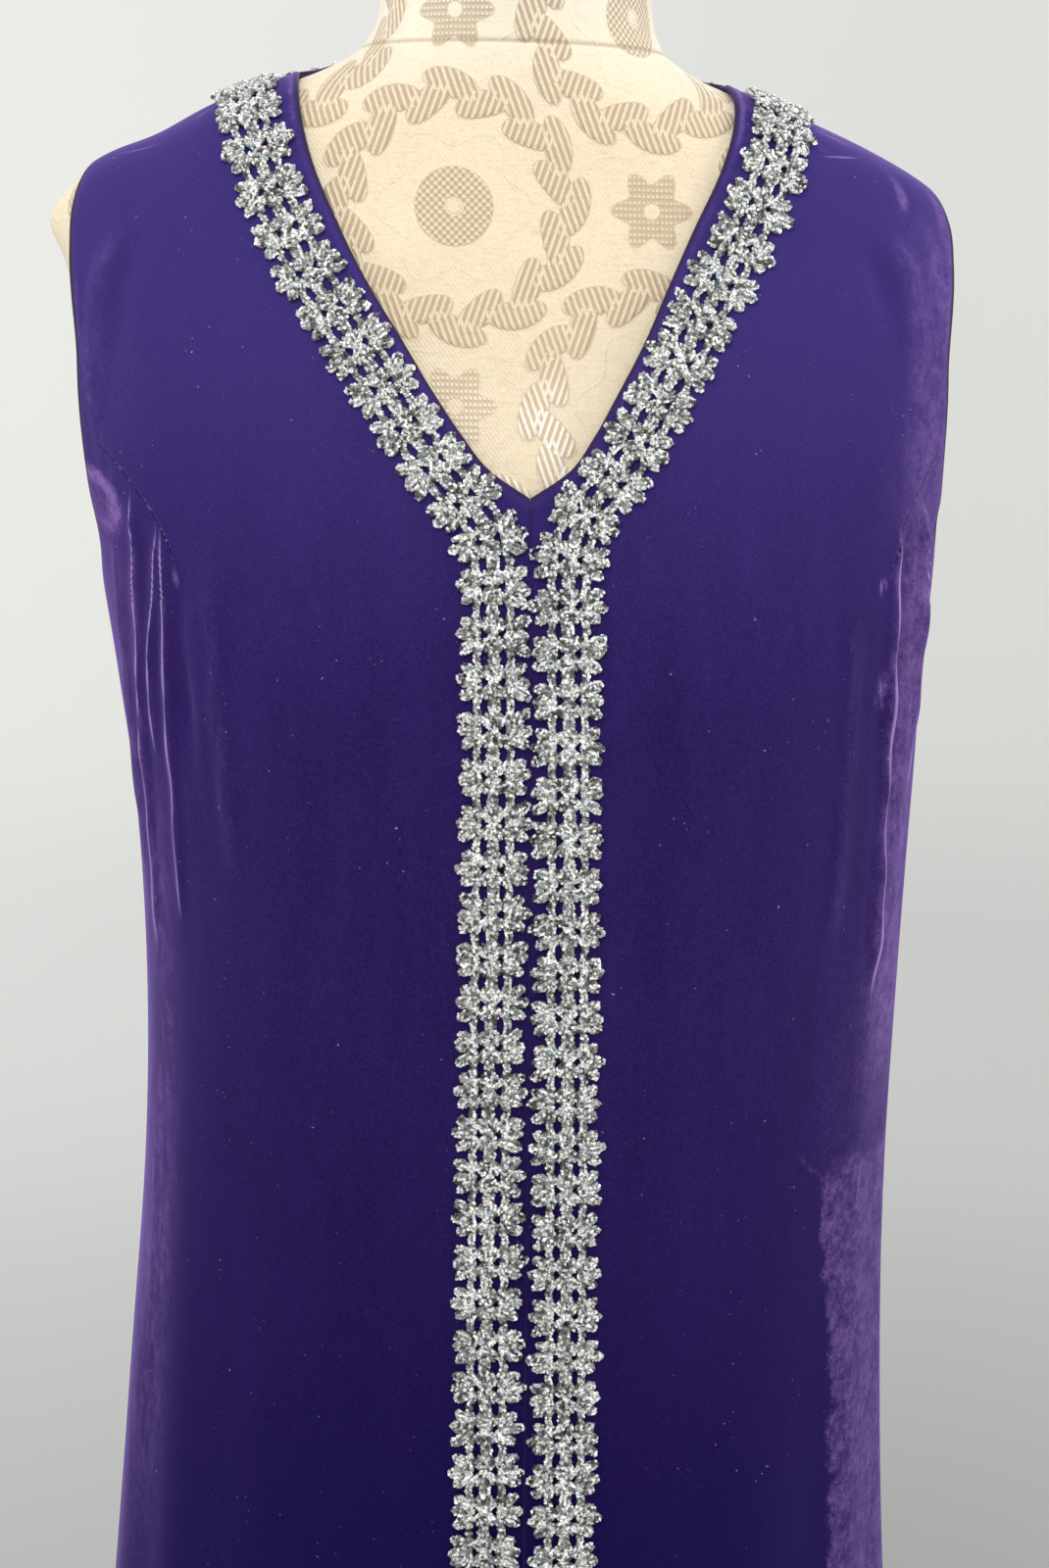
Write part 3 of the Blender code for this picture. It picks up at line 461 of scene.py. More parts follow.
def read_table(rows, value):
    """Every column of a table after the first, at the given value of the first, on a smooth curve."""
    table = np.array(rows, float)
    keys, columns = table[:, 0], table[:, 1:]
    slopes = np.gradient(columns, keys, axis=0)
    value = np.clip(np.asarray(value, float), keys[0], keys[-1])
    i = np.clip(np.searchsorted(keys, value, side="right") - 1, 0, len(keys) - 2)
    span = (keys[i + 1] - keys[i])[..., None]
    t = ((value - keys[i]) / (keys[i + 1] - keys[i]))[..., None]
    return (
        (2 * t**3 - 3 * t**2 + 1) * columns[i]
        + (t**3 - 2 * t**2 + t) * span * slopes[i]
        + (3 * t**2 - 2 * t**3) * columns[i + 1]
        + (t**3 - t**2) * span * slopes[i + 1]
    )


def unit(vectors):
    """The same directions, each one metre long."""
    return vectors / np.linalg.norm(vectors, axis=-1, keepdims=True)


def distance_along(points):
    """Distance of each point of a line from its start."""
    return np.concatenate([[0.0], np.cumsum(np.linalg.norm(np.diff(points, axis=0), axis=1))])


def turn_between(turn, other):
    """How far one turn is past another, the shorter way round."""
    return (turn - other + 180.0) % 360.0 - 180.0


def bell(away):
    """1 in the middle, and a smooth fall to 0 on both sides."""
    return np.exp(-(away**2))


def section_point(rows, turn, z):
    """x and y of the outline at a turn and a height, before its middle is shifted."""
    half_width, front, back, square = np.moveaxis(read_table(rows, z), -1, 0)
    angle = np.radians(turn)
    across, ahead = np.sin(angle), np.cos(angle)
    x = half_width * np.sign(across) * np.abs(across) ** (2 / square)
    y = np.where(ahead > 0, -front, back) * np.abs(ahead) ** (2 / square)
    return x, y


def bust_rise(x, y, z, below):
    """How far the cups push the front forward."""
    spread = np.where(z > BUST["z"], BUST["above"], below)
    cup = bell((np.abs(x) - BUST["x"]) / BUST["width"]) * bell((z - BUST["z"]) / spread)
    return np.where(y < 0, BUST["rise"] * cup, 0.0)


def shoulder_drop(x, z):
    """How much lower a point sits for the tilt of the shoulders."""
    return SHOULDER_DROP * x * step(*DROP_RANGE, z) * (1.0 - step(*DROP_FADE, z))


def shoulder_sag(x, z):
    """How much lower a point sits for the sag beside the wearer's right shoulder point."""
    away = (x - SHOULDER_SAG["x"]) / SHOULDER_SAG["half_width"]
    return SHOULDER_SAG["depth"] * bell(away) * step(*SHOULDER_SAG["from"], z)


def sway(x, z):
    """Shift across of the cloth at the side that x lies on."""
    right, left = np.moveaxis(read_table(SWAY, z), -1, 0)
    return np.where(x < 0, right, left)


def form_point(turn, z):
    """Point on the dress form, with the groove of the seam at the base of its neck."""
    turn, z = np.broadcast_arrays(np.asarray(turn, float), np.asarray(z, float))
    x, y = section_point(FORM_SECTIONS, turn, z)
    knob = bell((z - SHOULDER_KNOB["z"]) / SHOULDER_KNOB["height"]) * (z < SHOULDER_TIP_Z)
    below = bell((z - SHOULDER_KNOB["below"]) / SHOULDER_KNOB["below_height"])
    right = SHOULDER_REACH["right"] * knob + SHOULDER_REACH["right_below"] * below
    reach = np.where(turn > 0, SHOULDER_REACH["left"] * np.maximum(knob, below), right)
    shifted = step(*FORM_SWAY_RANGE, z) * (x > 0) * (x / read_table(FORM_SECTIONS, z)[..., 0]) ** 2
    x = x + np.sign(x) * reach * bell((np.abs(turn) - 90.0) / SHOULDER_KNOB["turn_width"])
    x = x + sway(x, z) * shifted
    y = y - bust_rise(x, y, z, BUST_BELOW_FORM)
    groove = 1.0 - NECK_GROOVE["share"] * bell((z - NECK_SEAM_Z) / NECK_GROOVE["half_height"])
    fade = np.where(z > NECK_PINCH["z"], NECK_PINCH["above"], NECK_PINCH["below"])
    pinch = 1.0 - NECK_PINCH["share"] * bell((z - NECK_PINCH["z"]) / fade)
    return np.stack([x * groove * pinch, y * groove, z - shoulder_drop(x, z) - shoulder_sag(x, z)], axis=-1)


def fold_height(turn, z):
    """Outward height of the folds of the skirt."""
    total = np.zeros(np.broadcast(turn, z).shape)
    for turn_hem, turn_top, half_width, height, top in FOLDS:
        share = np.clip((top - z) / (top - HEM_Z), 0.0, 1.0)
        middle = turn_hem + (turn_top - turn_hem) * (1.0 - share)
        away = turn_between(turn, middle) / half_width
        total = total + height * share**FOLD_GROWTH * (bell(away) - 0.5 * bell(away / 2))
    return total


def cloth_point(turn, z):
    """Point on the inner face of the cloth."""
    turn, z = np.broadcast_arrays(np.asarray(turn, float), np.asarray(z, float))
    x, y = section_point(CLOTH_SECTIONS, turn, z)
    wider = 1.0 + fold_height(turn, z) * step(*FOLD_FREE_TURNS, np.abs(turn)) / np.hypot(x, y)
    x, y = x * wider, y * wider
    x = x + sway(x, z) * (x / read_table(CLOTH_SECTIONS, z)[..., 0]) ** 2
    y = y - bust_rise(x, y, z, BUST_BELOW_CLOTH)
    return np.stack([x, y, z - shoulder_drop(x, z) - shoulder_sag(x, z)], axis=-1)


def cloth_normal(turn, z):
    """Direction square to the cloth, outwards."""
    along = cloth_point(turn + 0.4, z) - cloth_point(turn - 0.4, z)
    up = cloth_point(turn, z + 0.0006) - cloth_point(turn, z - 0.0006)
    return unit(np.cross(along, up))


def turn_at_x(x, z):
    """Turn, towards the front, at which the section is x wide."""
    half_width, _, _, square = np.moveaxis(read_table(CLOTH_SECTIONS, z), -1, 0)
    return np.degrees(np.arcsin(np.clip(x / half_width, 0.0, 1.0) ** (square / 2)))


def armhole_turn(z, back):
    """Turn of the armhole's edge on the wearer's left."""
    middle, half = (SHOULDER_TIP_Z + UNDERARM_Z) / 2, (SHOULDER_TIP_Z - UNDERARM_Z) / 2
    share = (1.0 - np.clip(np.abs(z - middle) / half, 0.0, 1.0) ** ARMHOLE_SHAPE) ** 0.5
    _, front_depth, back_depth, square = np.moveaxis(read_table(CLOTH_SECTIONS, z), -1, 0)
    if back:
        return 180.0 - np.degrees(np.arccos((ARMHOLE_BACK * share / back_depth) ** (square / 2)))
    return np.degrees(np.arccos((ARMHOLE_FRONT * share / front_depth) ** (square / 2)))


def neck_back_z(turn):
    """Height of the neckline behind the shoulder."""
    rise = step(90.0, 90.0 + BACK_NECK_RISE_TURN, turn)
    return NECK_POINT_Z + (BACK_NECK_Z - NECK_POINT_Z) * rise


def front_edge(z, side):
    """Turn of the inner edge of a front, as on the wearer's left: its centre seam, or the neckline."""
    if z >= NECK_POINT_Z:
        return 90.0
    return float(turn_at_x(read_table(NECKLINE, z)[max(side, 0)], z)) if z > V_POINT_Z else 0.0


def back_edge(z):
    """Turn of the outer edge of the back on the wearer's left."""
    if UNDERARM_Z < z < SHOULDER_TIP_Z:
        return float(armhole_turn(z, True))
    if z <= NECK_POINT_Z:
        return 90.0
    turns = np.linspace(90.0, 90.0 + BACK_NECK_RISE_TURN, 200)
    return float(np.interp(z, neck_back_z(turns), turns))


def to_turn_and_height(points):
    """Turn and height of the places of the cloth nearest to points beside it."""
    x, y = points[..., 0], points[..., 1]
    z = points[..., 2] + shoulder_drop(x, points[..., 2]) + shoulder_sag(x, points[..., 2])
    half_width, front, back, square = np.moveaxis(read_table(CLOTH_SECTIONS, z), -1, 0)
    x = x - sway(x, z) * (x / half_width) ** 2
    across = np.abs(x / half_width) ** (square / 2)
    ahead = np.abs(y / np.where(y < 0, front, back)) ** (square / 2)
    turn = np.degrees(np.arctan2(across, np.where(y < 0, ahead, -ahead)))
    return turn * np.sign(x), z


def crease_height(turn, z):
    """Outward height of the small creases."""
    total = np.zeros(np.broadcast(turn, z).shape)
    radius = np.linalg.norm(cloth_point(turn, z)[..., :2], axis=-1)
    for width, height, points in CREASES:
        turns, heights = np.array(points)[::-1].T
        middle = np.interp(z, heights, turns)
        away = np.radians(turn_between(turn, middle)) * radius
        ends = step(heights[0] - 0.5 * CREASE_FADE, heights[0] + 1.5 * CREASE_FADE, z)
        ends = ends * (1.0 - step(heights[-1] - 0.6 * CREASE_FADE, heights[-1] + 0.2 * CREASE_FADE, z))
        uneven = 1.0 + 0.25 * np.sin(z * 61.0 + turns[0]) + 0.15 * np.sin(z * 173.0 + turns[-1])
        total = total + height * uneven * bell(away / width) * ends
    return total


def broad_crease_paling(turn, z):
    """How pale the pile is along the broad creases: partly worn pile, partly a painted highlight on their
    ridges.
    """
    total = np.zeros(np.broadcast(turn, z).shape)
    for width, height, points in CREASES:
        if height > 0 and width >= BROAD_CREASE:
            turns, heights = np.array(points)[::-1].T
            away = np.abs(turn_between(turn, np.interp(z, heights, turns))) * math.radians(BODY_RADIUS)
            below = step(*np.add(heights[0], LINE_FADE_IN), z)
            above = step(*np.add(heights[-1], LINE_FADE_OUT), z)
            total = total + (1.0 - step(0.0, width * LINE_REACH, away)) * below * (1.0 - above)
    return total


def evenly(points, spacing):
    """The same line with its points evenly spaced, and the distance of each along it."""
    along = distance_along(points)
    count = max(2, round(along[-1] / spacing))
    places = np.linspace(0.0, along[-1], count + 1)
    return np.stack([np.interp(places, along, points[:, i]) for i in range(3)], axis=1), places


def soften(points, times):
    """The same line with its corners rounded."""
    for _ in range(times):
        points = points.copy()
        points[1:-1] = (points[:-2] + 2 * points[1:-1] + points[2:]) / 4
    return points


def neckline_path(side):
    """Turn and height along one half of the neckline, from the V to the centre back."""
    heights = np.linspace(V_POINT_Z, NECK_POINT_Z, 80)
    front = turn_at_x(read_table(NECKLINE, heights)[:, max(side, 0)], heights)
    front[-1] = 90.0
    back = np.linspace(90.0, 180.0, 80)[1:]
    return np.concatenate([front, back]) * side, np.concatenate([heights, neck_back_z(back)])


def braid_line(side):
    """Middle line of one braid on the cloth, from the hem to the centre back."""
    edge, _ = evenly(cloth_point(*neckline_path(side)), BRAID_STEP)
    edge = soften(edge, 12)
    outward = unit(side * np.cross(np.gradient(edge, axis=0), cloth_normal(*to_turn_and_height(edge))))
    inset = np.interp(np.linspace(0.0, 1.0, len(edge)), *np.transpose(BRAID_INSET))
    round_neck = edge + outward * inset[:, None]
    past_corner = (round_neck[:, 1] > 0) | (side * round_neck[:, 0] > BRAID_COLUMN_X + BRAID_CORNER)
    heights = np.linspace(HEM_Z + BRAID_END_ABOVE_HEM, BRAID_TURN_Z, 120)
    column_x = BRAID_COLUMN_X + BRAID_COLUMN_SPREAD * (BRAID_TURN_Z - heights)
    column = cloth_point(turn_at_x(column_x, heights) * side, heights)
    line, _ = evenly(np.concatenate([column, round_neck[past_corner]]), 2 * BRAID_STEP)
    line = soften(line, 6)
    line = line[side * line[:, 0] > BRAID_MEETING_GAP]
    line = np.concatenate([line, [[side * BRAID_MEETING_GAP, *line[-1, 1:]]]])
    return cloth_point(*to_turn_and_height(line))


def on_cloth(points, height, thickness):
    """The points laid on the cloth's outer face, at a height above the braid's underside."""
    turns, heights = to_turn_and_height(points)
    lift = BRAID_LIFT + BRAID_RIDGE_LIFT * step(*BRAID_RIDGE, heights)
    normals = cloth_normal(turns, heights)
    return cloth_point(turns, heights) + normals * (thickness + lift + height)[..., None], normals


def new_object(name, points, faces):
    """Object at the origin from points and faces given about the body's axis."""
    mesh = bpy.data.meshes.new(name)
    mesh.from_pydata(points + AXIS, [], faces)
    made = bpy.data.objects.new(name, mesh)
    bpy.context.scene.collection.objects.link(made)
    return made


def placed(made, material, slot, *nodes):
    """Gives a piece its finish, and its place among the part's pieces."""
    made.data.materials.clear()
    made.data.materials.append(material)
    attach(made, "root")
    if nodes:
        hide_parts(*nodes)
    return made


def area_of(points):
    """Area of a grid of points."""
    one = np.cross(points[1:, :-1] - points[:-1, :-1], points[:-1, 1:] - points[:-1, :-1])
    two = np.cross(points[1:, :-1] - points[1:, 1:], points[:-1, 1:] - points[1:, 1:])
    return float((np.linalg.norm(one, axis=-1) + np.linalg.norm(two, axis=-1)).sum() / 2)


# Finishes


class Value:
    """A number that varies over a surface. Arithmetic on it adds Math nodes."""

    def __init__(self, finish, socket):
        self.finish, self.socket = finish, socket

    def __add__(self, other):
        return self.finish.maths("ADD", self, other)

    __radd__ = __add__

    def __sub__(self, other):
        return self.finish.maths("SUBTRACT", self, other)

    def __rsub__(self, other):
        return self.finish.maths("SUBTRACT", other, self)

    def __mul__(self, other):
        return self.finish.maths("MULTIPLY", self, other)

    __rmul__ = __mul__

    def __truediv__(self, other):
        return self.finish.maths("DIVIDE", self, other)

    def __pow__(self, other):
        return self.finish.maths("POWER", self, other)

    def __abs__(self):
        return self.finish.maths("ABSOLUTE", self)

    def over(self, low, high):
        """0 below low, 1 above high, and a smooth rise between."""
        made = self.finish.node("ShaderNodeMapRange", {"interpolation_type": "SMOOTHSTEP"}, Value=self)
        made.inputs["From Min"].default_value = low
        made.inputs["From Max"].default_value = high
        return Value(self.finish, made.outputs[0])

    def curve(self, points, low, high):
        """Another number read from a smooth curve through points, within the given range of results."""
        points = sorted(points)
        first, last = points[0][0], points[-1][0]
        share = (self - first) / (last - first)
        made = self.finish.node("ShaderNodeFloatCurve", {}, Value=share)
        stops = made.mapping.curves[0].points
        for place, (key, value) in enumerate(points):
            spot = ((key - first) / (last - first), (value - low) / (high - low))
            if place in (0, len(points) - 1):
                stops[0 if place == 0 else -1].location = spot
            else:
                stops.new(*spot)
        made.mapping.update()
        return Value(self.finish, made.outputs[0]) * (high - low) + low


class Finish:
    """A node-based material that is being made."""

    def __init__(self, name, **settings):
        self.material = bpy.data.materials.new(name)
        self.material.use_nodes = True
        self.tree = self.material.node_tree
        self.shader = self.tree.nodes["Principled BSDF"]
        for socket, value in settings.items():
            self.shader.inputs[socket.replace("_", " ")].default_value = value

    def node(self, kind, settings=None, **inputs):
        """Adds a node, with its settings made before its sockets are given values or links."""
        made = self.tree.nodes.new(kind)
        for name, value in (settings or {}).items():
            if name == "stops":
                ramp = made.color_ramp.elements
                while len(ramp) < len(value):
                    ramp.new(0.5)
                for stop, (place, colour) in zip(ramp, value):
                    stop.position, stop.color = place, colour
            else:
                setattr(made, name, value)
        for name, value in inputs.items():
            self.feed(made.inputs[name.replace("_", " ")], value)
        return made

    def feed(self, socket, value):
        if isinstance(value, Value):
            value = value.socket
        if isinstance(value, bpy.types.NodeSocket):
            self.tree.links.new(value, socket)
        else:
            socket.default_value = value

    def maths(self, operation, *values):
        made = self.node("ShaderNodeMath", {"operation": operation})
        for socket, value in zip(made.inputs, values):
            self.feed(socket, value)
        return Value(self, made.outputs[0])

    def place(self, stretch=(1.0, 1.0, 1.0)):
        """Object coordinates, stretched along each axis."""
        spot = self.node("ShaderNodeTexCoord").outputs["Object"]
        if stretch == (1.0, 1.0, 1.0):
            return spot
        return self.node("ShaderNodeMapping", Vector=spot, Scale=stretch).outputs[0]

    def parts(self, vector):
        made = self.node("ShaderNodeSeparateXYZ", Vector=vector)
        return [Value(self, socket) for socket in made.outputs]

    def panel(self):
        """Turn and height of the cloth."""
        return self.parts(self.node("ShaderNodeUVMap", {"uv_map": "Panel"}).outputs[0])[:2]

    def noise(self, place, size, detail=3.0, roughness=0.55):
        made = self.node("ShaderNodeTexNoise", {"noise_dimensions": "3D"}, Vector=place, Scale=1.0 / size)
        made.inputs["Detail"].default_value = detail
        made.inputs["Roughness"].default_value = roughness
        return Value(self, made.outputs[0])

    def stretched_noise(self, across, up, detail=2.0, roughness=0.5):
        """Noise with so many blots to a metre, across the body and up it."""
        return self.noise(self.place((across, across, up)), 1.0, detail, roughness)

    def attribute(self, name, output="Fac"):
        return self.node("ShaderNodeAttribute", {"attribute_name": name}).outputs[output]

    def mix(self, share, one, other, blend="MIX"):
        """Two colours mixed."""
        made = self.node("ShaderNodeMix", {"data_type": "RGBA", "blend_type": blend, "clamp_factor": True})
        for socket, value in zip((made.inputs[0], made.inputs[6], made.inputs[7]), (share, one, other)):
            self.feed(socket, value)
        return made.outputs[2]

    def bump(self, height, distance, strength=1.0):
        return self.node("ShaderNodeBump", Height=height, Distance=distance, Strength=strength).outputs[0]

    def over_plain(self, share, **settings):
        """Lets a share of a plain matt surface show through this one."""
        plain = self.node("ShaderNodeBsdfPrincipled", {}, Specular_IOR_Level=0.04, **settings)
        both = self.node("ShaderNodeMixShader", {}, Fac=share)
        self.feed(both.inputs[1], self.shader.outputs[0])
        self.feed(both.inputs[2], plain.outputs[0])
        self.feed(self.tree.nodes["Material Output"].inputs["Surface"], both.outputs[0])

    def done(self, **sockets):
        for name, value in sockets.items():
            self.feed(self.shader.inputs[name.replace("_", " ")], value)
        return self.material


def opaque(colour, light=1.0):
    return (colour[0] * light, colour[1] * light, colour[2] * light, 1.0)


def line_mask(turn, height, points):
    """Distance in metres from a line drawn on the cloth through points, and a mask of the line's length."""
    turns, heights = [t for t, _ in points], [z for _, z in points]
    middle = height.curve([(z, t) for t, z in points], min(turns) - 2, max(turns) + 2)
    below = height.over(min(heights) + LINE_FADE_IN[0], min(heights) + LINE_FADE_IN[1])
    above = height.over(max(heights) + LINE_FADE_OUT[0], max(heights) + LINE_FADE_OUT[1])
    return abs(turn - middle) * math.radians(BODY_RADIUS), below * (1 - above)


def pile_crush_and_sheen(turn, height, pile):
    """How pale the pile is in each area, spot and streak of the tables: crushed pile, painted sheen down the
    sides and painted highlights on the shoulders.
    """

    def strength(even, patterns):
        for name, share in patterns.items():
            even = pile[name] * share + even
        return even

    total = 0.0
    for turn_in, turn_out, height_in, height_out, even, patterns in CRUSH_AND_SHEEN_AREAS:
        area = turn.over(*turn_in) * (1 - turn.over(*turn_out)) * height.over(*height_in)
        total = area * (1 - height.over(*height_out)) * strength(even, patterns) + total
    for middle, z, wide, high, even, patterns in PALE_SPOTS:
        away = (((turn - middle) / wide) ** 2 + ((height - z) / high) ** 2) ** 0.5
        total = (1 - away.over(0.1, 1.2)) * strength(even, patterns) + total
    for one, other, wide, even, patterns in SHOULDER_HIGHLIGHTS:
        over, up = (other[0] - one[0]) * METRES_PER_DEGREE, other[1] - one[1]
        half = math.hypot(over, up) / 2
        over, up = over / half / 2, up / half / 2
        u, v = (turn - (one[0] + other[0]) / 2) * METRES_PER_DEGREE, height - (one[1] + other[1]) / 2
        away = (((u * over + v * up) / half) ** 2 + ((v * over - u * up) / wide) ** 2) ** 0.5
        total = (1 - away.over(0.2, 1.1)) * strength(even, patterns) + total
    return total


def crease_marks(finish, turn, height, streak, mottle):
    """Painted highlights on the crests of the sharp creases, and paler pile along them, partly bruised pile
    and partly painted highlight, sharp above and softer below.
    """
    # The broad creases pale the pile too, partly worn pile and partly a painted highlight on their ridges.
    crest_highlight, crush_and_sheen = 0.0, Value(finish, finish.attribute("worn")) * (0.05 + 0.24 * mottle)
    for width, rise, points in CREASES:
        if rise > 0 and width < BROAD_CREASE:
            points = [(t + 360.0 if t < -90.0 else t, z) for t, z in points]
            low, high = points[-1][1], points[0][1]
            away, ends = line_mask(turn, height, points)
            share = (height - low).over(0.0, high - low)
            core = 1 - (away / (width * (0.46 - 0.20 * share))).over(0.10, 1.0)
            crest_highlight = core * (0.25 + 0.95 * streak) * ends + crest_highlight
            crush_and_sheen = (core * 0.50 + (1 - away.over(0.0, width * LINE_REACH)) * mottle * 0.40) * ends + crush_and_sheen
    return crest_highlight, crush_and_sheen


def velvet(colours):
    """Silk velvet with its pile crushed along creases and in patches, with painted light: a paler chest, a
    darker skirt, painted sheen down the sides and painted highlights on creases and shoulders.
    """
    finish = Finish(
        "Velvet",
        Sheen_Weight=0.46,
        Sheen_Roughness=0.40,
        Sheen_Tint=opaque(colours.sheen),
        Specular_IOR_Level=0.04,
    )
    turn, height = finish.panel()
    here = finish.place()
    streak = finish.stretched_noise(260.0, 34.0, 4.0, 0.6)
    bands = finish.stretched_noise(48.0, 3.6)
    brushed = finish.stretched_noise(46.0, 11.0, 5.0, 0.66)
    drift = finish.stretched_noise(9.0, 3.5)
    grain = finish.noise(here, 0.0010, 3.0, 0.75)
    fleck = finish.noise(finish.place((1.0, 1.0, 0.6)), 0.0042, 6.0, 0.78)
    mottle = (brushed * 0.40 + streak * 0.28 + fleck * 0.62).over(0.53, 0.83)
    cloud = finish.noise(here, 0.0110, 6.0, 0.74)
    crumbs = finish.noise(here, 0.0040, 7.0, 0.84)
    crushed = (cloud * 0.42 + crumbs * 0.58).over(0.38, 0.64)
    wobble = (brushed - 0.5) * 2.4
    pile = {
        "mottle": mottle,
        "crush": crushed,
        "streak": streak.over(0.45, 0.60),
        "bands": bands.over(0.40, 0.64),
    }
    crest_highlight, crush_and_sheen = crease_marks(finish, turn, height, streak, mottle)
    crush_and_sheen = crush_and_sheen + pile_crush_and_sheen(turn, height, pile)

    # Crushed patch on the lower left side, with a ragged front edge and a hooked top, and its softer match
    ragged = (cloud - 0.5) * 9.0
    top = PATCH_TOP_Z - (turn - PATCH_HOOK_TURN).over(0.0, 6.0) * 0.0010 + ragged * 0.0011
    patch = (turn - height.curve(PATCH_EDGE, 40.0, 60.0) + ragged).over(-0.3, 1.6)
    patch = patch * (1 - (height - top).over(-0.004, 0.010)) * height.over(0.25, 0.62)
    patch = patch * (1 - (turn + wobble * 4).over(80.0, 104.0))
    crush_and_sheen = crush_and_sheen + patch * (0.16 + 0.48 * crushed)
    for width, points in PATCH_LINES:
        away, ends = line_mask(turn, height, points)
        bright = 0.10 + 0.40 * fleck.over(0.42, 0.66)
        crush_and_sheen = crush_and_sheen + (1 - (away + ragged * 0.0002).over(0.0, width)) * ends * bright
    hollow = 1 - (abs(turn - HOLLOW["turn"] + wobble) / HOLLOW["half_turn"]).over(0.2, 1.0)
    hollow = hollow * (1 - height.over(1.06, 1.20)) * height.over(0.25, 0.60)
    crush_and_sheen = crush_and_sheen + hollow * (0.02 + 0.14 * mottle)

    # Bruise beside the right dart, with a brighter hook round it
    beside = (turn - BRUISE["turn"]) / BRUISE["half_turn"]
    above = (height - BRUISE["z"]) / BRUISE["half_height"]
    reach = (beside**2 + above**2) ** 0.5
    hooked = 1 - abs(reach - 0.88).over(0.0, 0.46)
    hooked = hooked * turn.over(-73.0, -63.5) * (0.45 + 0.55 * height.over(1.216, 1.236))
    bruise = hooked + (1 - reach.over(0.3, 1.3)) * 0.26
    crush_and_sheen = crush_and_sheen + bruise * (0.30 + 0.80 * crumbs.over(0.36, 0.62))

    # Clouds all over, and paler bands down both sides, a painted sheen where the cloth turns away
    sides = abs(turn).over(52.0, 74.0) * (1 - abs(turn).over(104.0, 128.0))
    crush_and_sheen = crush_and_sheen + sides * bands * (1 - patch * 0.8) * 0.14
    cloudy = (brushed * 0.55 + drift * 0.45).over(0.44, 0.70)
    crush_and_sheen = crush_and_sheen + cloudy * height.over(0.80, 1.30) * 0.09 + grain.over(0.50, 0.78) * 0.17

    # Turned edges with a painted highlight where they roll, sewn lines and specks of lint
    edge = Value(finish, finish.attribute("edge"))
    rolled = edge.over(*EDGE_ROLL_HIGHLIGHT[0]) * (1 - edge.over(*EDGE_ROLL_HIGHLIGHT[1]))
    crush_and_sheen = crush_and_sheen + rolled * (0.02 + 0.22 * streak + height.over(1.36, 1.41) * mottle * 0.6)
    lint = finish.noise(here, 0.0013, 1.0, 0.2).over(0.790, 0.815)
    lint = lint * finish.noise(here, 0.016, 1.0).over(0.50, 0.62)
    dots = finish.noise(here, 0.0017, 1.0)
    groove, lips = 0.0, 0.0
    for points in (DART_RIGHT, DART_LEFT):
        away, ends = line_mask(turn, height, points)
        groove = (1 - away.over(0.0003, 0.0012)) * ends + groove
        lips = (1 - (away - 0.0004).over(0.0, 0.0010)) * ends + lips
    crush_and_sheen = crush_and_sheen + lips * dots.over(0.54, 0.62) * 0.85

    # Colour from the deepest pile to what lies over it
    # The tone is a little paler higher up, as painted light from above.
    tone = drift * 0.35 + bands * 0.35 + brushed * 0.55 + grain * 1.8 - 1.10 + height.over(0.55, 1.25) * 0.16
    tone = tone.over(0.0, 0.95)
    colour = finish.mix(tone, opaque(colours.velvet_deep), opaque(colours.velvet))
    # Painted light: the chest and shoulders are paler, partly for the lie of the nap and partly as painted
    # light from above.
    chest = height.over(1.150, 1.330) * (0.42 + 0.40 * grain)
    colour = finish.mix(chest, colour, opaque(colours.velvet_chest_nap_and_light))
    # Painted shade: the lower skirt is darker, as if less light reaches it.
    colour = finish.mix((1 - height.over(0.66, 1.08)) * 0.92, colour, opaque(colours.velvet_skirt_shade))
    # Crushed pile, painted sheen and painted highlights, all laid on as paler pile.
    colour = finish.mix(crush_and_sheen.over(0.0, 1.15), colour, opaque(colours.velvet_crush_and_sheen))
    # Painted highlights on the crests of the sharp creases.
    colour = finish.mix(crest_highlight * 0.72, colour, opaque(colours.velvet_crest_highlight))
    colour = finish.mix(groove * (0.85 - dots * 0.5), colour, opaque(colours.velvet_deep, 0.35))
    colour = finish.mix(lint * 0.6, colour, opaque(colours.lint))
    colour = finish.mix((1 - edge.over(*EDGE_TURNED)) * 0.85, colour, opaque(colours.edge))
    relief = grain * 0.34 + streak * 0.30 + brushed * 0.3 - groove * 1.6

    # The cut edge of the armholes, bare of pile
    armhole = height.over(*BARE_HEIGHTS[0]) * (1 - height.over(*BARE_HEIGHTS[1])) * abs(turn).over(*BARE_TURNS)
    bare = (1 - edge.over(*EDGE_BARE)) * armhole * 0.80
    finish.over_plain(bare, Base_Color=opaque(colours.edge, 1.5), Roughness=0.85)
    return finish.done(
        Base_Color=colour,
        Roughness=0.66 + 0.25 * tone,
        Normal=finish.bump(relief, 0.0006, 0.60),
    )


def silver_thread(colours):
    """Twisted metallic thread: each grain has its own lightness, carried by the Thread attribute."""
    finish = Finish("Silver thread", Metallic=0.78, Specular_IOR_Level=0.7)
    worn = finish.noise(finish.place(), 0.0007, 2.0)
    twist = finish.noise(finish.place(), 0.0011, 2.0, 0.6).over(0.38, 0.60)
    thread = finish.attribute("Thread", "Color")
    colour = finish.mix(worn.over(0.3, 0.75), thread, opaque(colours.thread), "MULTIPLY")
    colour = finish.mix((1 - twist) * 0.46, colour, opaque(colours.thread_shade))
    tint, _, _ = finish.parts(thread)
    # Painted glints: the palest grains glow a little by emission where the twist stands up, as if catching the
    # light.
    glint = finish.mix(tint.over(0.62, 1.02) * twist, (0.0, 0.0, 0.0, 1.0), opaque(colours.thread, 0.40))
    return finish.done(
        Base_Color=colour,
        Emission_Color=glint,
        Emission_Strength=1.0,
        Roughness=0.17 + 0.26 * worn,
        Normal=finish.bump(twist + worn * 0.4, 0.0006, 0.8),
    )


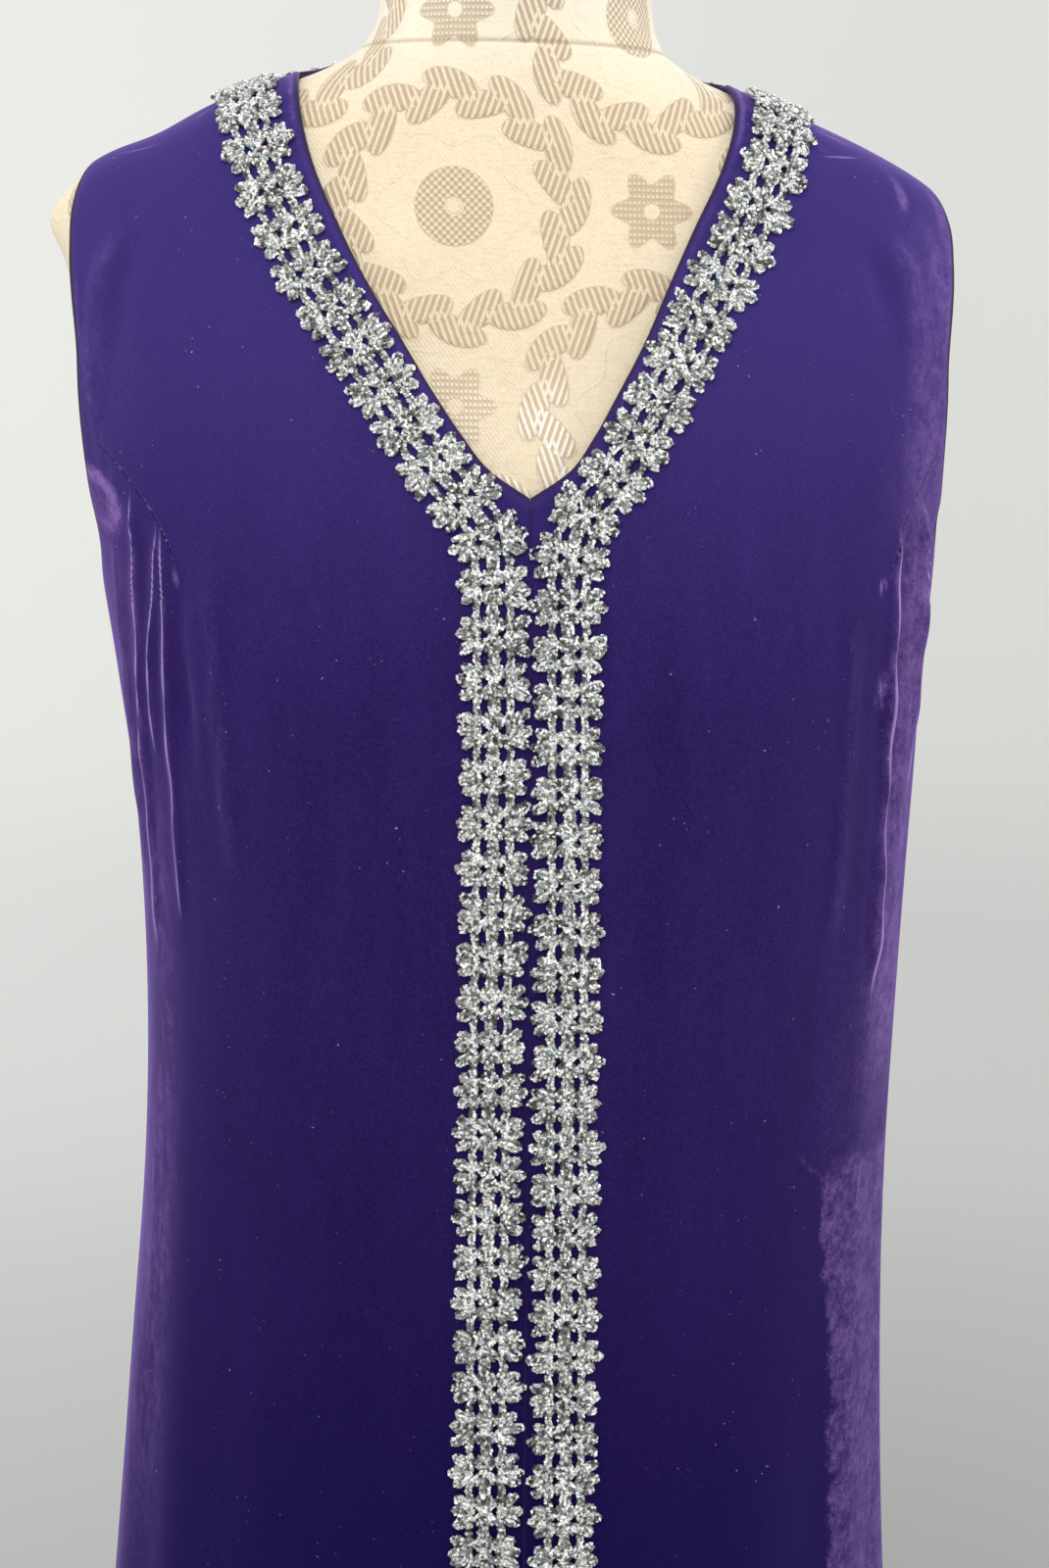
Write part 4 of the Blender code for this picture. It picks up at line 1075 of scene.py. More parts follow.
def form_cover(colours):
    """Ecru jacquard: wreaths of ribbed satin leaves round a dotted button, on a fine twill ground."""
    finish = Finish("Ecru jacquard", Sheen_Weight=0.20, Sheen_Roughness=0.5, Specular_IOR_Level=0.3)
    across, height = finish.panel()

    def largest(one, other):
        return finish.maths("MAXIMUM", one, other)

    def ribs(along, pitch):
        return finish.maths("SINE", along * (2 * math.pi / pitch)).over(-0.75, 0.75)

    def repeated(value, half):
        return finish.maths("WRAP", value, half, -half)

    def petal_line(reach, angle, middle, petals):
        """A thin wavy ring, pressed into the ground."""
        away = abs(reach - middle - 0.0042 * finish.maths("COSINE", angle * petals))
        return (1 - away.over(0.0, 0.0011)) * 0.22

    ridge, seat, puff = 0.0, 0.0, 0.0
    for shift_across, shift_height in WREATHS:
        u = repeated(across - shift_across, WREATH_REPEAT[0])
        v = repeated(height - shift_height, WREATH_REPEAT[1])
        reach = (u * u + v * v) ** 0.5
        angle = finish.maths("ARCTAN2", v, u)
        for row, turned_by in ((1, 0.0), (-1, math.pi / LEAVES["count"])):
            lean = math.radians(LEAVES["lean"]) * row
            s = repeated(angle + turned_by, math.pi / LEAVES["count"]) * LEAVES["radius"]
            q = reach - (LEAVES["radius"] + LEAVES["apart"] * row)
            a = s * math.cos(lean) + q * math.sin(lean)
            b = q * math.cos(lean) - s * math.sin(lean)
            away = (a / LEAVES["length"]) ** 2 + (b / LEAVES["width"]) ** 2
            leaf = 1 - away.over(0.86, 1.06)
            ridge = largest(ridge, leaf * ribs(u * 0.94 + v * (0.34 * row), 0.0028))
            seat = largest(seat, leaf)
            puff = largest(puff, 1 - away.over(0.35, 1.35))
        button = 1 - reach.over(0.0158, 0.0166)
        dots = (finish.maths("SINE", u * 1900) * finish.maths("SINE", v * 1900)).over(-0.35, 0.25)
        eye = 1 - reach.over(0.0026, 0.0032)
        ring = button * reach.over(0.0036, 0.0042)
        ridge = largest(ridge, largest(ring * dots, eye))
        seat = largest(seat, largest(ring, eye))
        # Six petals between the wreaths, woven in fine rows, and faint petals pressed inside each wreath
        far_u = repeated(across - shift_across - WREATH_REPEAT[0], WREATH_REPEAT[0])
        far, far_angle = (far_u * far_u + v * v) ** 0.5, finish.maths("ARCTAN2", v, far_u)
        lobes = finish.maths("COSINE", far_angle * 6)
        star = (1 - (far / (0.0140 + 0.0030 * lobes)).over(0.95, 1.05)) * far.over(0.0030, 0.0036)
        rows = ribs(v, 0.0026) * finish.maths("SINE", far_u * 3300).over(-1.2, 0.2)
        ridge = largest(ridge, star * rows)
        seat = largest(seat, star * 0.8)
        puff = puff + petal_line(reach, angle, 0.0290, 6) + petal_line(far, far_angle, 0.0270, 5)
    twill = finish.maths("SINE", (across * 0.8 + height * 0.6) * 4200).over(-1.0, 1.0)
    slub = finish.stretched_noise(900.0, 1300.0, 4.0, 0.75)
    weave = finish.stretched_noise(170.0, 1100.0, 3.0, 0.6)
    soft = finish.noise(finish.place(), 0.06, 3.0)
    soiled = finish.noise(finish.place(), 0.012, 5.0, 0.65)
    colour = finish.mix(soft.over(0.3, 0.7), opaque(colours.cover), opaque(colours.cover, 0.94))
    ground = soiled.over(0.56, 0.78) * 0.15 + slub.over(0.42, 0.66) * 0.24
    ground = ground + weave.over(0.46, 0.68) * 0.16 + twill * 0.05
    colour = finish.mix(ground, colour, opaque(colours.cover_shade))
    # Painted light: the top of the neck is paler, as if lit from above.
    colour = finish.mix(height.over(1.385, 1.450) * 0.46, colour, opaque(colours.cover_bright))
    # Painted light on the satin: pale where it faces the light, low on the torso, and tan higher up where it
    # faces away; the shine along its ribs is a painted highlight.
    bright = 1 - (height + (soft - 0.5) * 0.10).over(1.262, 1.335)
    shine = finish.mix(bright, opaque(colours.cover_shade, 1.45), opaque(colours.cover_bright))
    between = finish.mix(bright * 0.80, opaque(colours.cover_shade, 0.86), opaque(colours.cover_shade, 1.30))
    colour = finish.mix(seat * (1 - ridge) * 0.80, colour, between)
    colour = finish.mix(seat * ridge * (0.20 + 0.72 * bright), colour, shine)
    # Painted shadow in the groove of the seam at the base of the neck.
    seam = abs(height - NECK_SEAM_Z).over(0.0002, 0.0012)
    colour = finish.mix((1 - seam) * 0.45, colour, opaque(colours.cover_shade, 0.7))
    relief = twill * 0.16 + slub * 0.40 + weave * 0.35 + puff * 1.6 + ridge * 0.7 + soft * 0.4
    return finish.done(
        Base_Color=colour,
        Roughness=0.80 - 0.38 * ridge + 0.06 * slub,
        Normal=finish.bump(relief, 0.0008, 0.8),
    )


def cap_wood(colours):
    finish = Finish("Cap wood", Coat_Weight=0.25, Coat_Roughness=0.25)
    rings = finish.noise(finish.place((3.0, 30.0, 3.0)), 0.05, 5.0, 0.6)
    pores = finish.noise(finish.place((40.0, 900.0, 900.0)), 1.0, 2.0)
    colour = finish.mix(rings.over(0.3, 0.7), opaque(colours.wood, 0.55), opaque(colours.wood))
    colour = finish.mix(pores.over(0.55, 0.75) * 0.5, colour, opaque(colours.wood, 0.3))
    return finish.done(
        Base_Color=colour,
        Roughness=0.34 + 0.2 * pores,
        Normal=finish.bump(pores, 0.0003, 0.4),
    )


def stand_metal(colours):
    finish = Finish("Dark stand metal", Metallic=0.9)
    coat = finish.noise(finish.place(), 0.0016, 3.0)
    wear = finish.noise(finish.place(), 0.03, 5.0, 0.65)
    colour = finish.mix(wear.over(0.45, 0.75), opaque(colours.metal), opaque(colours.metal, 1.8))
    return finish.done(
        Base_Color=colour,
        Roughness=0.30 + 0.25 * wear,
        Normal=finish.bump(coat, 0.0002, 0.35),
    )


def studio_paper(colours):
    """Pale paper, darker underfoot and a little darker towards one side as painted shade, with a painted glow
    of its own.
    """
    finish = Finish("Pale paper", Specular_IOR_Level=0.1)
    x, y, z = finish.parts(finish.place())
    soft = finish.noise(finish.place(), 0.9, 2.0)
    away = (x * x + y * y) ** 0.5 + z * 0.4
    pale, glow, side_shade = (away.curve(points, 0.0, 1.0) for points in (PAPER_PALE, PAPER_GLOW, PAPER_SIDE_SHADE))
    side = (x / (away + 1.0)).over(-0.22, 0.24) * side_shade + soft * 0.02
    dark = (0.0, 0.0, 0.0, 1.0)
    return finish.done(
        Base_Color=finish.mix(pale * (1 - side), dark, opaque(colours.paper)),
        Roughness=0.85 + 0.1 * soft,
        # Painted glow: the paper gives off light of its own, more of it away from the middle.
        Emission_Color=finish.mix(glow * (1 - side), dark, opaque(colours.paper)),
        Emission_Strength=1.0,
    )


# Cloth


def panel_heights():
    """Heights of the rows of a panel at its middle edge, closer where the V and the hem turn."""
    hem = HEM_Z + np.array([0.0, 0.0004, 0.0011, 0.0022])
    skirt = np.linspace(HEM_Z + 0.008, 1.000, 100)
    bust = np.linspace(1.0035, UNDERARM_Z, 56)
    armhole = np.linspace(UNDERARM_Z, SHOULDER_TIP_Z, 62)[1:]
    point = V_POINT_Z + np.array([0.0, 0.0007, 0.0015])
    shoulder = np.linspace(SHOULDER_TIP_Z + 0.0015, NECK_POINT_Z, 26)
    return np.unique(np.round(np.concatenate([hem, skirt, bust, armhole, point, shoulder]), 6))


EDGE_PLACES = np.array([0.0, 0.00025, 0.0007, 0.0014, 0.0026, 0.0045])
SAME_PLACE = 0.000004
NO_AREA = 0.000002

# Columns of a panel: share of their number, and share of the width, closest where the bust creases run.
COLUMN_SHARES = ((0.0, 0.0), (0.27, 0.43), (0.84, 0.83), (1.0, 1.0))


def outer_end(z, back):
    """Turn and height of the outer end of a row that starts at z. The armhole's ends are evenly spaced."""
    if not UNDERARM_Z < z < SHOULDER_TIP_Z:
        return (back_edge(z) if back else 90.0), z
    swing = np.linspace(0.0, math.pi, 400)
    heights = (UNDERARM_Z + SHOULDER_TIP_Z) / 2 - np.cos(swing) * (SHOULDER_TIP_Z - UNDERARM_Z) / 2
    turns = armhole_turn(heights, back)
    along = distance_along(cloth_point(turns, heights))
    at = along[-1] * (z - UNDERARM_Z) / (SHOULDER_TIP_Z - UNDERARM_Z)
    return float(np.interp(at, along, turns)), float(np.interp(at, along, heights))


def row_places(inner, z, outer, outer_z, columns):
    """Turns and heights across one row, close together at both edges, and closer at the side than in front."""
    share = np.linspace(0.0, 1.0, 300)
    turns, heights = inner + (outer - inner) * share, z + (outer_z - z) * share**2
    along = distance_along(cloth_point(turns, heights))
    length = max(along[-1], 1e-9)
    edge = EDGE_PLACES * min(1.0, length / (6.0 * EDGE_PLACES[-1]))
    even = np.linspace(0.0, 1.0, columns - 2 * len(edge) + 3)[1:-1]
    middle = edge[-1] + (length - 2 * edge[-1]) * np.interp(even, *np.array(COLUMN_SHARES).T)
    places = np.concatenate([edge, middle, length - edge[::-1]])
    return np.interp(places, along, turns), np.interp(places, along, heights)


def distance_to(points, line):
    """Distance from each point of a grid to a line."""
    flat = points.reshape(-1, 3)
    nearest = np.empty(len(flat))
    start, run = line[:-1], np.diff(line, axis=0)
    length = np.maximum((run**2).sum(axis=1), 1e-12)
    for low in range(0, len(flat), 2000):
        offset = flat[low : low + 2000, None] - start[None]
        share = np.clip((offset * run[None]).sum(axis=2) / length, 0.0, 1.0)
        nearest[low : low + 2000] = np.linalg.norm(offset - share[..., None] * run, axis=2).min(axis=1)
    return nearest.reshape(points.shape[:2])


def edge_distances(grid, seams):
    """Distance from each point of a panel to its nearest open edge, and to its nearest seam."""
    to_open, to_seam = distance_to(grid, grid[0]), np.full(grid.shape[:2], 1.0)
    to_open = np.minimum(to_open, distance_to(grid, grid[-1]))
    for column, end in ((0, 0), (-1, 1)):
        sewn = np.array([bool(ends[end]) for ends in seams])
        starts = np.flatnonzero(np.diff(np.concatenate([[-1], sewn.astype(int)])))
        for first, last in zip(starts, [*starts[1:], len(sewn)]):
            stretch = grid[max(first - (not sewn[first]), 0) : last + (not sewn[first]), column]
            if len(stretch) < 2:
                continue
            if sewn[first]:
                to_seam = np.minimum(to_seam, distance_to(grid, stretch))
            else:
                to_open = np.minimum(to_open, distance_to(grid, stretch))
    return to_open, to_seam


def cloth_wall(name, turns, heights, seams, sizes):
    """Wall of cloth with rolled edges over a grid of turns and heights.

    seams tells for each row whether its first and its last point lie on a seam, as the axis that the seam's
    plane is square to, and the offset from it.
    """
    inner, normals = cloth_point(turns, heights), cloth_normal(turns, heights)
    rise = crease_height(turns, heights) * sizes.crease_share
    for row, ends in enumerate(seams):
        along = distance_along(inner[row])
        for column, end in ((0, ends[0]), (-1, ends[1])):
            if end:
                axis, offset = end
                away = along if column == 0 else along[-1] - along
                normals[row, :, axis] *= step(-0.0001, 0.014, away)
                normals[row, column, axis] = 0.0
                inner[row, column, axis] = offset
    normals = unit(normals)
    edge, seam = edge_distances(inner, seams)
    inner = inner + normals * rise[..., None]
    roll = np.clip(np.minimum(edge, seam * sizes.edge_roll / SEAM_ROLL) / sizes.edge_roll, 0.0, 1.0)
    thickness = sizes.cloth_thickness * (0.30 + 0.70 * np.sqrt(1.0 - (1.0 - roll) ** 2))
    outer = inner + normals * thickness[..., None]
    rows, columns = inner.shape[:2]
    count = rows * columns
    number = np.arange(count).reshape(rows, columns)
    cells = np.stack([number[:-1, :-1], number[:-1, 1:], number[1:, 1:], number[1:, :-1]], axis=-1)
    cells = cells.reshape(-1, 4)
    faces = [cells + count, cells[:, [0, 3, 2, 1]]]
    loop = np.concatenate([number[0], number[1:, -1], number[-1, -2::-1], number[-2:0:-1, 0]])
    onward = np.roll(loop, -1)
    faces.append(np.stack([onward + count, loop + count, loop, onward], axis=-1))
    points = np.concatenate([inner.reshape(-1, 3), outer.reshape(-1, 3)])
    made = new_object(name, points, np.concatenate(faces))
    panel = made.data.uv_layers.new(name="Panel")
    corner = np.empty(len(made.data.loops), np.int32)
    made.data.loops.foreach_get("vertex_index", corner)
    places = np.stack([turns, np.broadcast_to(heights, turns.shape)], axis=-1).reshape(-1, 2)
    panel.data.foreach_set("uv", np.concatenate([places, places])[corner].astype(np.float32).ravel())
    # The worn attribute carries the paler pile of the broad creases, partly worn and partly a painted
    # highlight.
    for key, values in (("edge", edge), ("worn", broad_crease_paling(turns, heights))):
        layer = made.data.attributes.new(key, "FLOAT", "POINT")
        layer.data.foreach_set("value", np.tile(values.ravel(), 2).astype(np.float32))
    made.data.shade_smooth()
    merge(made)
    return made, area_of(outer)


def merge(made):
    """Merges points that lie on one place, and drops faces that have no area."""
    bpy.ops.object.select_all(action="DESELECT")
    made.select_set(True)
    bpy.context.view_layer.objects.active = made
    bpy.ops.object.mode_set(mode="EDIT")
    bpy.ops.mesh.select_all(action="SELECT")
    bpy.ops.mesh.remove_doubles(threshold=SAME_PLACE)
    bpy.ops.mesh.dissolve_degenerate(threshold=NO_AREA)
    bpy.ops.object.mode_set(mode="OBJECT")
    made.select_set(False)


def front_panel(name, side, sizes):
    """One front of the caftan, and the area of its outer face."""
    turns, heights, seams = [], [], []
    for z in panel_heights():
        row = row_places(front_edge(z, side), z, *outer_end(z, False), sizes.panel_columns)
        turns.append(row[0] * side)
        heights.append(row[1])
        at_side = not UNDERARM_Z < z < SHOULDER_TIP_Z
        centre = (0, side * SEAM_GAP / 2) if z <= V_POINT_Z else None
        seams.append((centre, (1, -SEAM_GAP / 2) if at_side else None))
    turns, heights = np.array(turns), np.array(heights)
    if side < 0:
        turns, heights, seams = turns[:, ::-1], heights[:, ::-1], [(last, first) for first, last in seams]
    return cloth_wall(name, turns, heights, seams, sizes)


def back_panel(name, sizes):
    """The back of the caftan, and the area of its outer face."""
    top = BACK_NECK_Z - np.array([0.0134, 0.0112, 0.009, 0.007, 0.0052, 0.0036, 0.0022, 0.0012, 0.0005, 0.0])
    turns, heights, seams = [], [], []
    for z in np.concatenate([panel_heights(), top]):
        half, rise = row_places(180.0, z, *outer_end(z, True), sizes.back_columns)
        evener = np.linspace(half[0], half[len(EDGE_PLACES) + 1], len(EDGE_PLACES) + 2)
        half = np.concatenate([evener, half[len(EDGE_PLACES) + 2 :]])
        turns.append(np.concatenate([half[::-1], 360.0 - half[1:]]))
        heights.append(np.concatenate([rise[::-1], rise[1:]]))
        seam = (1, SEAM_GAP / 2) if z <= UNDERARM_Z or SHOULDER_TIP_Z <= z <= NECK_POINT_Z else None
        seams.append((seam, seam))
    return cloth_wall(name, np.array(turns), np.array(heights), seams, sizes)


# Braid


def thread_along(points, spacing, closed):
    """Places and directions of grains along a line, in the braid's own plane."""
    if closed:
        points = np.concatenate([points, points[:1]])
    line, _ = evenly(points, spacing)
    return (line[:-1] + line[1:]) / 2, unit(np.diff(line, axis=0))


def flower(sizes):
    """Grains of one flower and of the link to the next: places, headings, and the group of each."""
    places, headings, groups = [], [], []

    def add(line, spacing, closed, group):
        spots, ways = thread_along(np.array(line, float), spacing, closed)
        places.append(spots)
        headings.append(ways)
        groups.extend([group] * len(spots))

    gap = sizes.grain_spacing
    group = 0
    for side in (1.0, -1.0):
        for root, tip, width in PETALS:
            root, tip = np.array([root[0], root[1] * side]), np.array([tip[0], tip[1] * side])
            way = tip - root
            cross = np.array([-way[1], way[0]]) / np.linalg.norm(way)
            swing = np.linspace(0.0, 2 * math.pi, 40)[:-1]
            share = (1 - np.cos(swing)) / 2
            fullness = PETAL_FULLNESS[0] + PETAL_FULLNESS[1] * share
            out = np.sin(swing) * (width / 2 - PETAL_INSET) * fullness
            outline = root + share[:, None] * way + out[:, None] * cross
            high = PETAL_HEIGHT + PETAL_ARCH * np.sin(np.pi * share)
            add(np.column_stack([outline, high]), gap, True, group)
            rib = root + np.linspace(0.10, 0.84, 5)[:, None] * way
            add(np.column_stack([rib, RIB_HEIGHTS]), gap * 0.9, False, group)
            group += 1
    half = BRAID_PITCH / 2
    swing = np.linspace(0.0, 2 * math.pi, 30)[:-1]
    ring = [half + BUTTON["length"] * np.cos(swing), BUTTON["width"] * np.sin(swing)]
    add(np.column_stack([*ring, np.full(len(swing), BUTTON["high"])]), gap, True, group)
    add([(half - 0.0026, 0.0, BUTTON["high"]), (half + 0.0026, 0.0, BUTTON["high"])], gap, False, group)
    for side in (1.0, -1.0):
        for apart in ARM_STRANDS:
            add(np.array(ARM) * [1.0, side, 1.0] + [0.0, apart, 0.0], gap, False, group + 1)
        for line in FILLING:
            add(np.array(line) * [1.0, side, 1.0], gap, False, group + 1)
    return np.concatenate(places), np.concatenate(headings), np.array(groups)


def pads():
    """Low cushions under the thread of one flower: points in the braid's plane, and triangles."""
    half = BRAID_PITCH / 2
    cushions = list(CUSHIONS)
    cushions += [((root[0], -root[1]), (tip[0], -tip[1]), reach) for root, tip, reach in CUSHIONS]
    cushions.append(((half - 0.0052, 0.0), (half + 0.0052, 0.0), 0.0022))
    points, faces = [], []
    for root, tip, reach in cushions:
        root, way = np.array(root), np.subtract(tip, root)
        cross = np.array([-way[1], way[0]]) / np.linalg.norm(way)
        under = len(points)
        for level, wide in CUSHION_LEVELS:
            for share, out in CUSHION_OUTLINE:
                points.append((*(root + share * way + out * wide * reach * cross), level))
        points.extend((*(root + share * way), CUSHION_TOP) for share in (0.3, 0.7))
        over, low, high = under + 6, under + 12, under + 13
        faces += [(over, over + 1, low), (over + 1, over + 2, high), (over + 2, over + 3, high)]
        faces += [(over + 3, over + 4, high), (over + 4, over + 5, low), (over + 5, over, low)]
        faces += [(over + 1, high, low), (high, over + 4, low)]
        for i in range(6):
            onward = (i + 1) % 6
            faces += [(under + i, under + onward, over + onward), (under + i, over + onward, over + i)]
        faces += [(under, under + i + 1, under + i) for i in range(1, 5)]
    return np.array(points), np.array(faces)


GRAIN_POINTS = np.array(
    [(-1.0, 0.0, 0.0)]
    + [(-0.45, math.cos(a), math.sin(a)) for a in np.radians([0, 120, 240])]
    + [(0.45, math.cos(a), math.sin(a)) for a in np.radians([60, 180, 300])]
    + [(1.0, 0.0, 0.0)]
)
GRAIN_FACES = np.array(
    [(0, 2, 1), (0, 3, 2), (0, 1, 3)]
    + [(1, 2, 4), (4, 2, 5), (2, 3, 5), (5, 3, 6), (3, 1, 6), (6, 1, 4)]
    + [(7, 4, 5), (7, 5, 6), (7, 6, 4)]
)


def turned_frames(headings, chance):
    """For each grain three axes of its own: along its thread, laid over by the twist and shaken a little."""
    lay = math.radians(TWIST["lay"]) + chance.normal(0.0, TWIST["spread"], len(headings))
    ahead = headings[:, 0] * np.cos(lay) - headings[:, 1] * np.sin(lay)
    aside = headings[:, 0] * np.sin(lay) + headings[:, 1] * np.cos(lay)
    along = unit(np.stack([ahead, aside, chance.normal(0.0, TWIST["tilt"], len(headings))], axis=1))
    roll = chance.uniform(0.0, 2 * math.pi, len(headings))
    side = unit(np.cross([0.0, 0.0, 1.0], along))
    up = np.cross(along, side)
    one = side * np.cos(roll)[:, None] + up * np.sin(roll)[:, None]
    return along, one, np.cross(along, one)


def braid(name, side, first_share, last_share, seed, sizes):
    """One stretch of the flower braid, from one share of its length to another."""
    line, places = evenly(braid_line(side), BRAID_STEP / 2)
    heading = unit(np.gradient(line, axis=0))
    across = unit(np.cross(cloth_normal(*to_turn_and_height(line)), heading))

    def read(rows, at):
        return np.stack([np.interp(at, places, rows[:, i]) for i in range(3)], axis=1)

    length = places[-1]
    flowers = round(length / BRAID_PITCH)
    pitch = length / flowers
    front_stretch = NECK_SIDE_STRETCH["front"] if last_share < 1.0 else 1.0
    chance = np.random.default_rng(seed)
    spots, ways, groups = flower(sizes)
    pad_spots, pad_faces = pads()
    all_points, all_faces, all_shades = [], [], []
    count = 0
    for number in range(round(flowers * first_share), round(flowers * last_share)):
        middle = (number + 0.5) * pitch
        behind = read(line, np.array([middle]))[0, 1] > 0.010
        stretch = NECK_SIDE_STRETCH["behind"] if behind else front_stretch
        shift = chance.normal(0.0, STRAY["shift"], (groups.max() + 1, 3))
        spread = 1.0 + chance.normal(0.0, STRAY["spread"], groups.max() + 1)
        bend = chance.normal(0.0, STRAY["bend"], groups.max() + 1)
        shift[-1] *= 0.3
        here, heads = spots + shift[groups] * [1.0, 1.0, 0.7], ways
        in_petal = groups < 2 * len(PETALS)
        here[:, 0] += bend[groups] * np.abs(here[:, 1]) * in_petal
        stretched = np.where(here[:, 1] * side > 0.0, stretch, 1.0)
        here[:, 1] *= np.where(in_petal, spread[groups], 1.0) * stretched
        here += chance.normal(0.0, STRAY["grain"], here.shape)
        here[:, 2] = np.maximum(here[:, 2], LOWEST_GRAIN)
        if number == flowers - 1:
            kept = here[:, 0] < pitch / 2
            here, heads = here[kept], ways[kept]
        at = middle + here[:, 0] * pitch / BRAID_PITCH
        flat = read(line, at) + read(across, at) * here[:, 1:2]
        centre, up = on_cloth(flat, here[:, 2], sizes.cloth_thickness)
        frame_along, frame_across = read(heading, at), read(across, at)
        axes = turned_frames(heads, chance)
        size = np.array([sizes.grain_length / 2, sizes.grain_width / 2, sizes.grain_width / 2])
        size = size * (1.0 + chance.normal(0.0, STRAY["size"], (len(at), 1)))
        corners = np.zeros((len(at), len(GRAIN_POINTS), 3))
        for axis, way in enumerate(axes):
            world = way[:, :1] * frame_along + way[:, 1:2] * frame_across + way[:, 2:] * up
            corners += GRAIN_POINTS[None, :, axis, None] * (size[:, axis, None] * world)[:, None]
        corners += centre[:, None]
        shade = chance.choice(THREAD_SHADES, len(at), p=THREAD_SHARES)
        shade = np.clip(shade + chance.normal(0.0, STRAY["shade"], len(at)), 0.12, 1.0)
        shade = shade[:, None] * np.ones((1, 3))
        glint = chance.random(len(at))[:, None]
        shade = np.where(glint < COOL_GRAINS[0], shade * COOL_GRAINS[1], shade)
        shade = np.where(glint > 1.0 - WARM_GRAINS[0], shade * WARM_GRAINS[1], shade)
        all_points.append(corners.reshape(-1, 3))
        starts = np.arange(len(at)) * len(GRAIN_POINTS) + count
        all_faces.append((GRAIN_FACES[None] + starts[:, None, None]).reshape(-1, 3))
        all_shades.append(np.repeat(shade, len(GRAIN_POINTS), axis=0))
        count += len(at) * len(GRAIN_POINTS)
        at = middle + pad_spots[:, 0] * pitch / BRAID_PITCH
        flat = read(line, at) + read(across, at) * pad_spots[:, 1:2]
        corners, _ = on_cloth(flat, pad_spots[:, 2], sizes.cloth_thickness)
        all_points.append(corners)
        all_faces.append(pad_faces + count)
        all_shades.append(np.full((len(corners), 3), CUSHION_SHADE))
        count += len(corners)
    made = new_object(name, np.concatenate(all_points), np.concatenate(all_faces))
    shades = np.concatenate(all_shades)
    shades = np.column_stack([shades, np.ones(len(shades))]).astype(np.float32)
    thread = made.data.attributes.new("Thread", "FLOAT_COLOR", "POINT")
    thread.data.foreach_set("color", shades.ravel())
    return made


# Form, stand and stage


def turned(name, profile, centre, vertices):
    """A turned solid: a circle that is extruded up and resized from one radius and height to the next."""
    bpy.ops.object.select_all(action="DESELECT")
    (radius, low), rest = profile[0], profile[1:]
    bpy.ops.mesh.primitive_circle_add(
        vertices=vertices, radius=radius, fill_type="NGON", location=(centre[0], centre[1], low)
    )
    made = bpy.context.object
    made.name = made.data.name = name
    bpy.ops.object.mode_set(mode="EDIT")
    bpy.ops.mesh.select_all(action="SELECT")
    for wide, high in rest:
        bpy.ops.mesh.extrude_region_move(TRANSFORM_OT_translate={"value": (0.0, 0.0, high - low)})
        if abs(wide - radius) > 1e-9:
            bpy.ops.transform.resize(value=(wide / radius, wide / radius, 1.0))
        radius, low = wide, high
    bpy.ops.mesh.select_all(action="SELECT")
    bpy.ops.mesh.normals_make_consistent(inside=False)
    bpy.ops.object.mode_set(mode="OBJECT")
    bpy.ops.object.transform_apply(location=True, rotation=True, scale=True)
    bpy.ops.object.shade_smooth_by_angle(angle=math.radians(TURNED_EDGE_ANGLE))
    made.select_set(False)
    return made


def turned_to_fit(name, node, outline, vertices):
    """A turned solid with an outline in shares of the radius and height of a part of the frame."""
    low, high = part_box(node)
    radius, tall = (high.x - low.x) / 2, high.z - low.z
    profile = [(radius * wide, low.z + tall * up) for wide, up in outline]
    return turned(name, profile, (low + high) / 2, vertices)


def covered_form(name, sizes):
    """Torso and neck of the form in a smooth skin, closed below and on top."""
    at_seam = NECK_SEAM_Z + np.linspace(-0.003, 0.003, 13)
    torso, neck = np.linspace(FORM_BOTTOM_Z, 1.30, 90), np.arange(1.304, FORM_TOP_Z, 0.004)
    heights = np.concatenate([torso, neck, [FORM_TOP_Z]])
    heights = np.sort(np.concatenate([heights[np.abs(heights - NECK_SEAM_Z) > 0.004], at_seam]))
    turns = np.linspace(-180.0, 180.0, sizes.form_columns + 1)
    grid = form_point(turns[None, :-1], heights[:, None])
    rows, columns = grid.shape[:2]
    number = np.arange(rows * columns).reshape(rows, columns)
    beside = np.roll(number, -1, axis=1)
    faces = np.stack([number[:-1], beside[:-1], beside[1:], number[1:]], axis=-1).reshape(-1, 4).tolist()
    faces.append(number[0, ::-1].tolist())
    faces.append(number[-1].tolist())
    made = new_object(name, grid.reshape(-1, 3), faces)
    closed = np.concatenate([grid, grid[:, :1]], axis=1)
    run = np.linalg.norm(np.diff(closed, axis=1), axis=2)
    along = np.concatenate([np.zeros((rows, 1)), np.cumsum(run, axis=1)], axis=1)
    front = columns // 2
    along = along - along[:, front : front + 1]
    panel = made.data.uv_layers.new(name="Panel")
    values = np.zeros((len(made.data.loops), 2), np.float32)
    side = (rows - 1) * columns
    cell = np.arange(side)
    row, column = cell // columns, cell % columns
    for corner, (up, over) in enumerate(((0, 0), (0, 1), (1, 1), (1, 0))):
        values[cell * 4 + corner, 0] = along[row + up, column + over]
        values[cell * 4 + corner, 1] = heights[row + up]
    values[side * 4 :, 1] = FORM_BOTTOM_Z
    panel.data.foreach_set("uv", values.ravel())
    made.data.shade_smooth()
    made.data.set_sharp_from_angle(angle=math.radians(FORM_EDGE_ANGLE))
    return made


def light(name, place, target, size, power, colour):
    """A round soft light, turned to a point."""
    bpy.ops.object.light_add(type="AREA", location=place)
    made = bpy.context.object
    made.name = name
    made.data.shape = "DISK"
    made.data.size = size
    made.data.energy = power
    made.data.color = colour
    made.rotation_euler = (Vector(target) - Vector(place)).to_track_quat("-Z", "Y").to_euler()
    made.visible_camera = False


# Settings


def length_property(name, description, default):
    kind = {"subtype": "DISTANCE", "unit": "LENGTH"}
    return FloatProperty(name=name, description=description, default=default, **kind)


def colour_property(name, description, default):
    shown = {"subtype": "COLOR", "size": 3, "min": 0.0, "max": 1.0}
    return FloatVectorProperty(name=name, description=description, default=default, **shown)


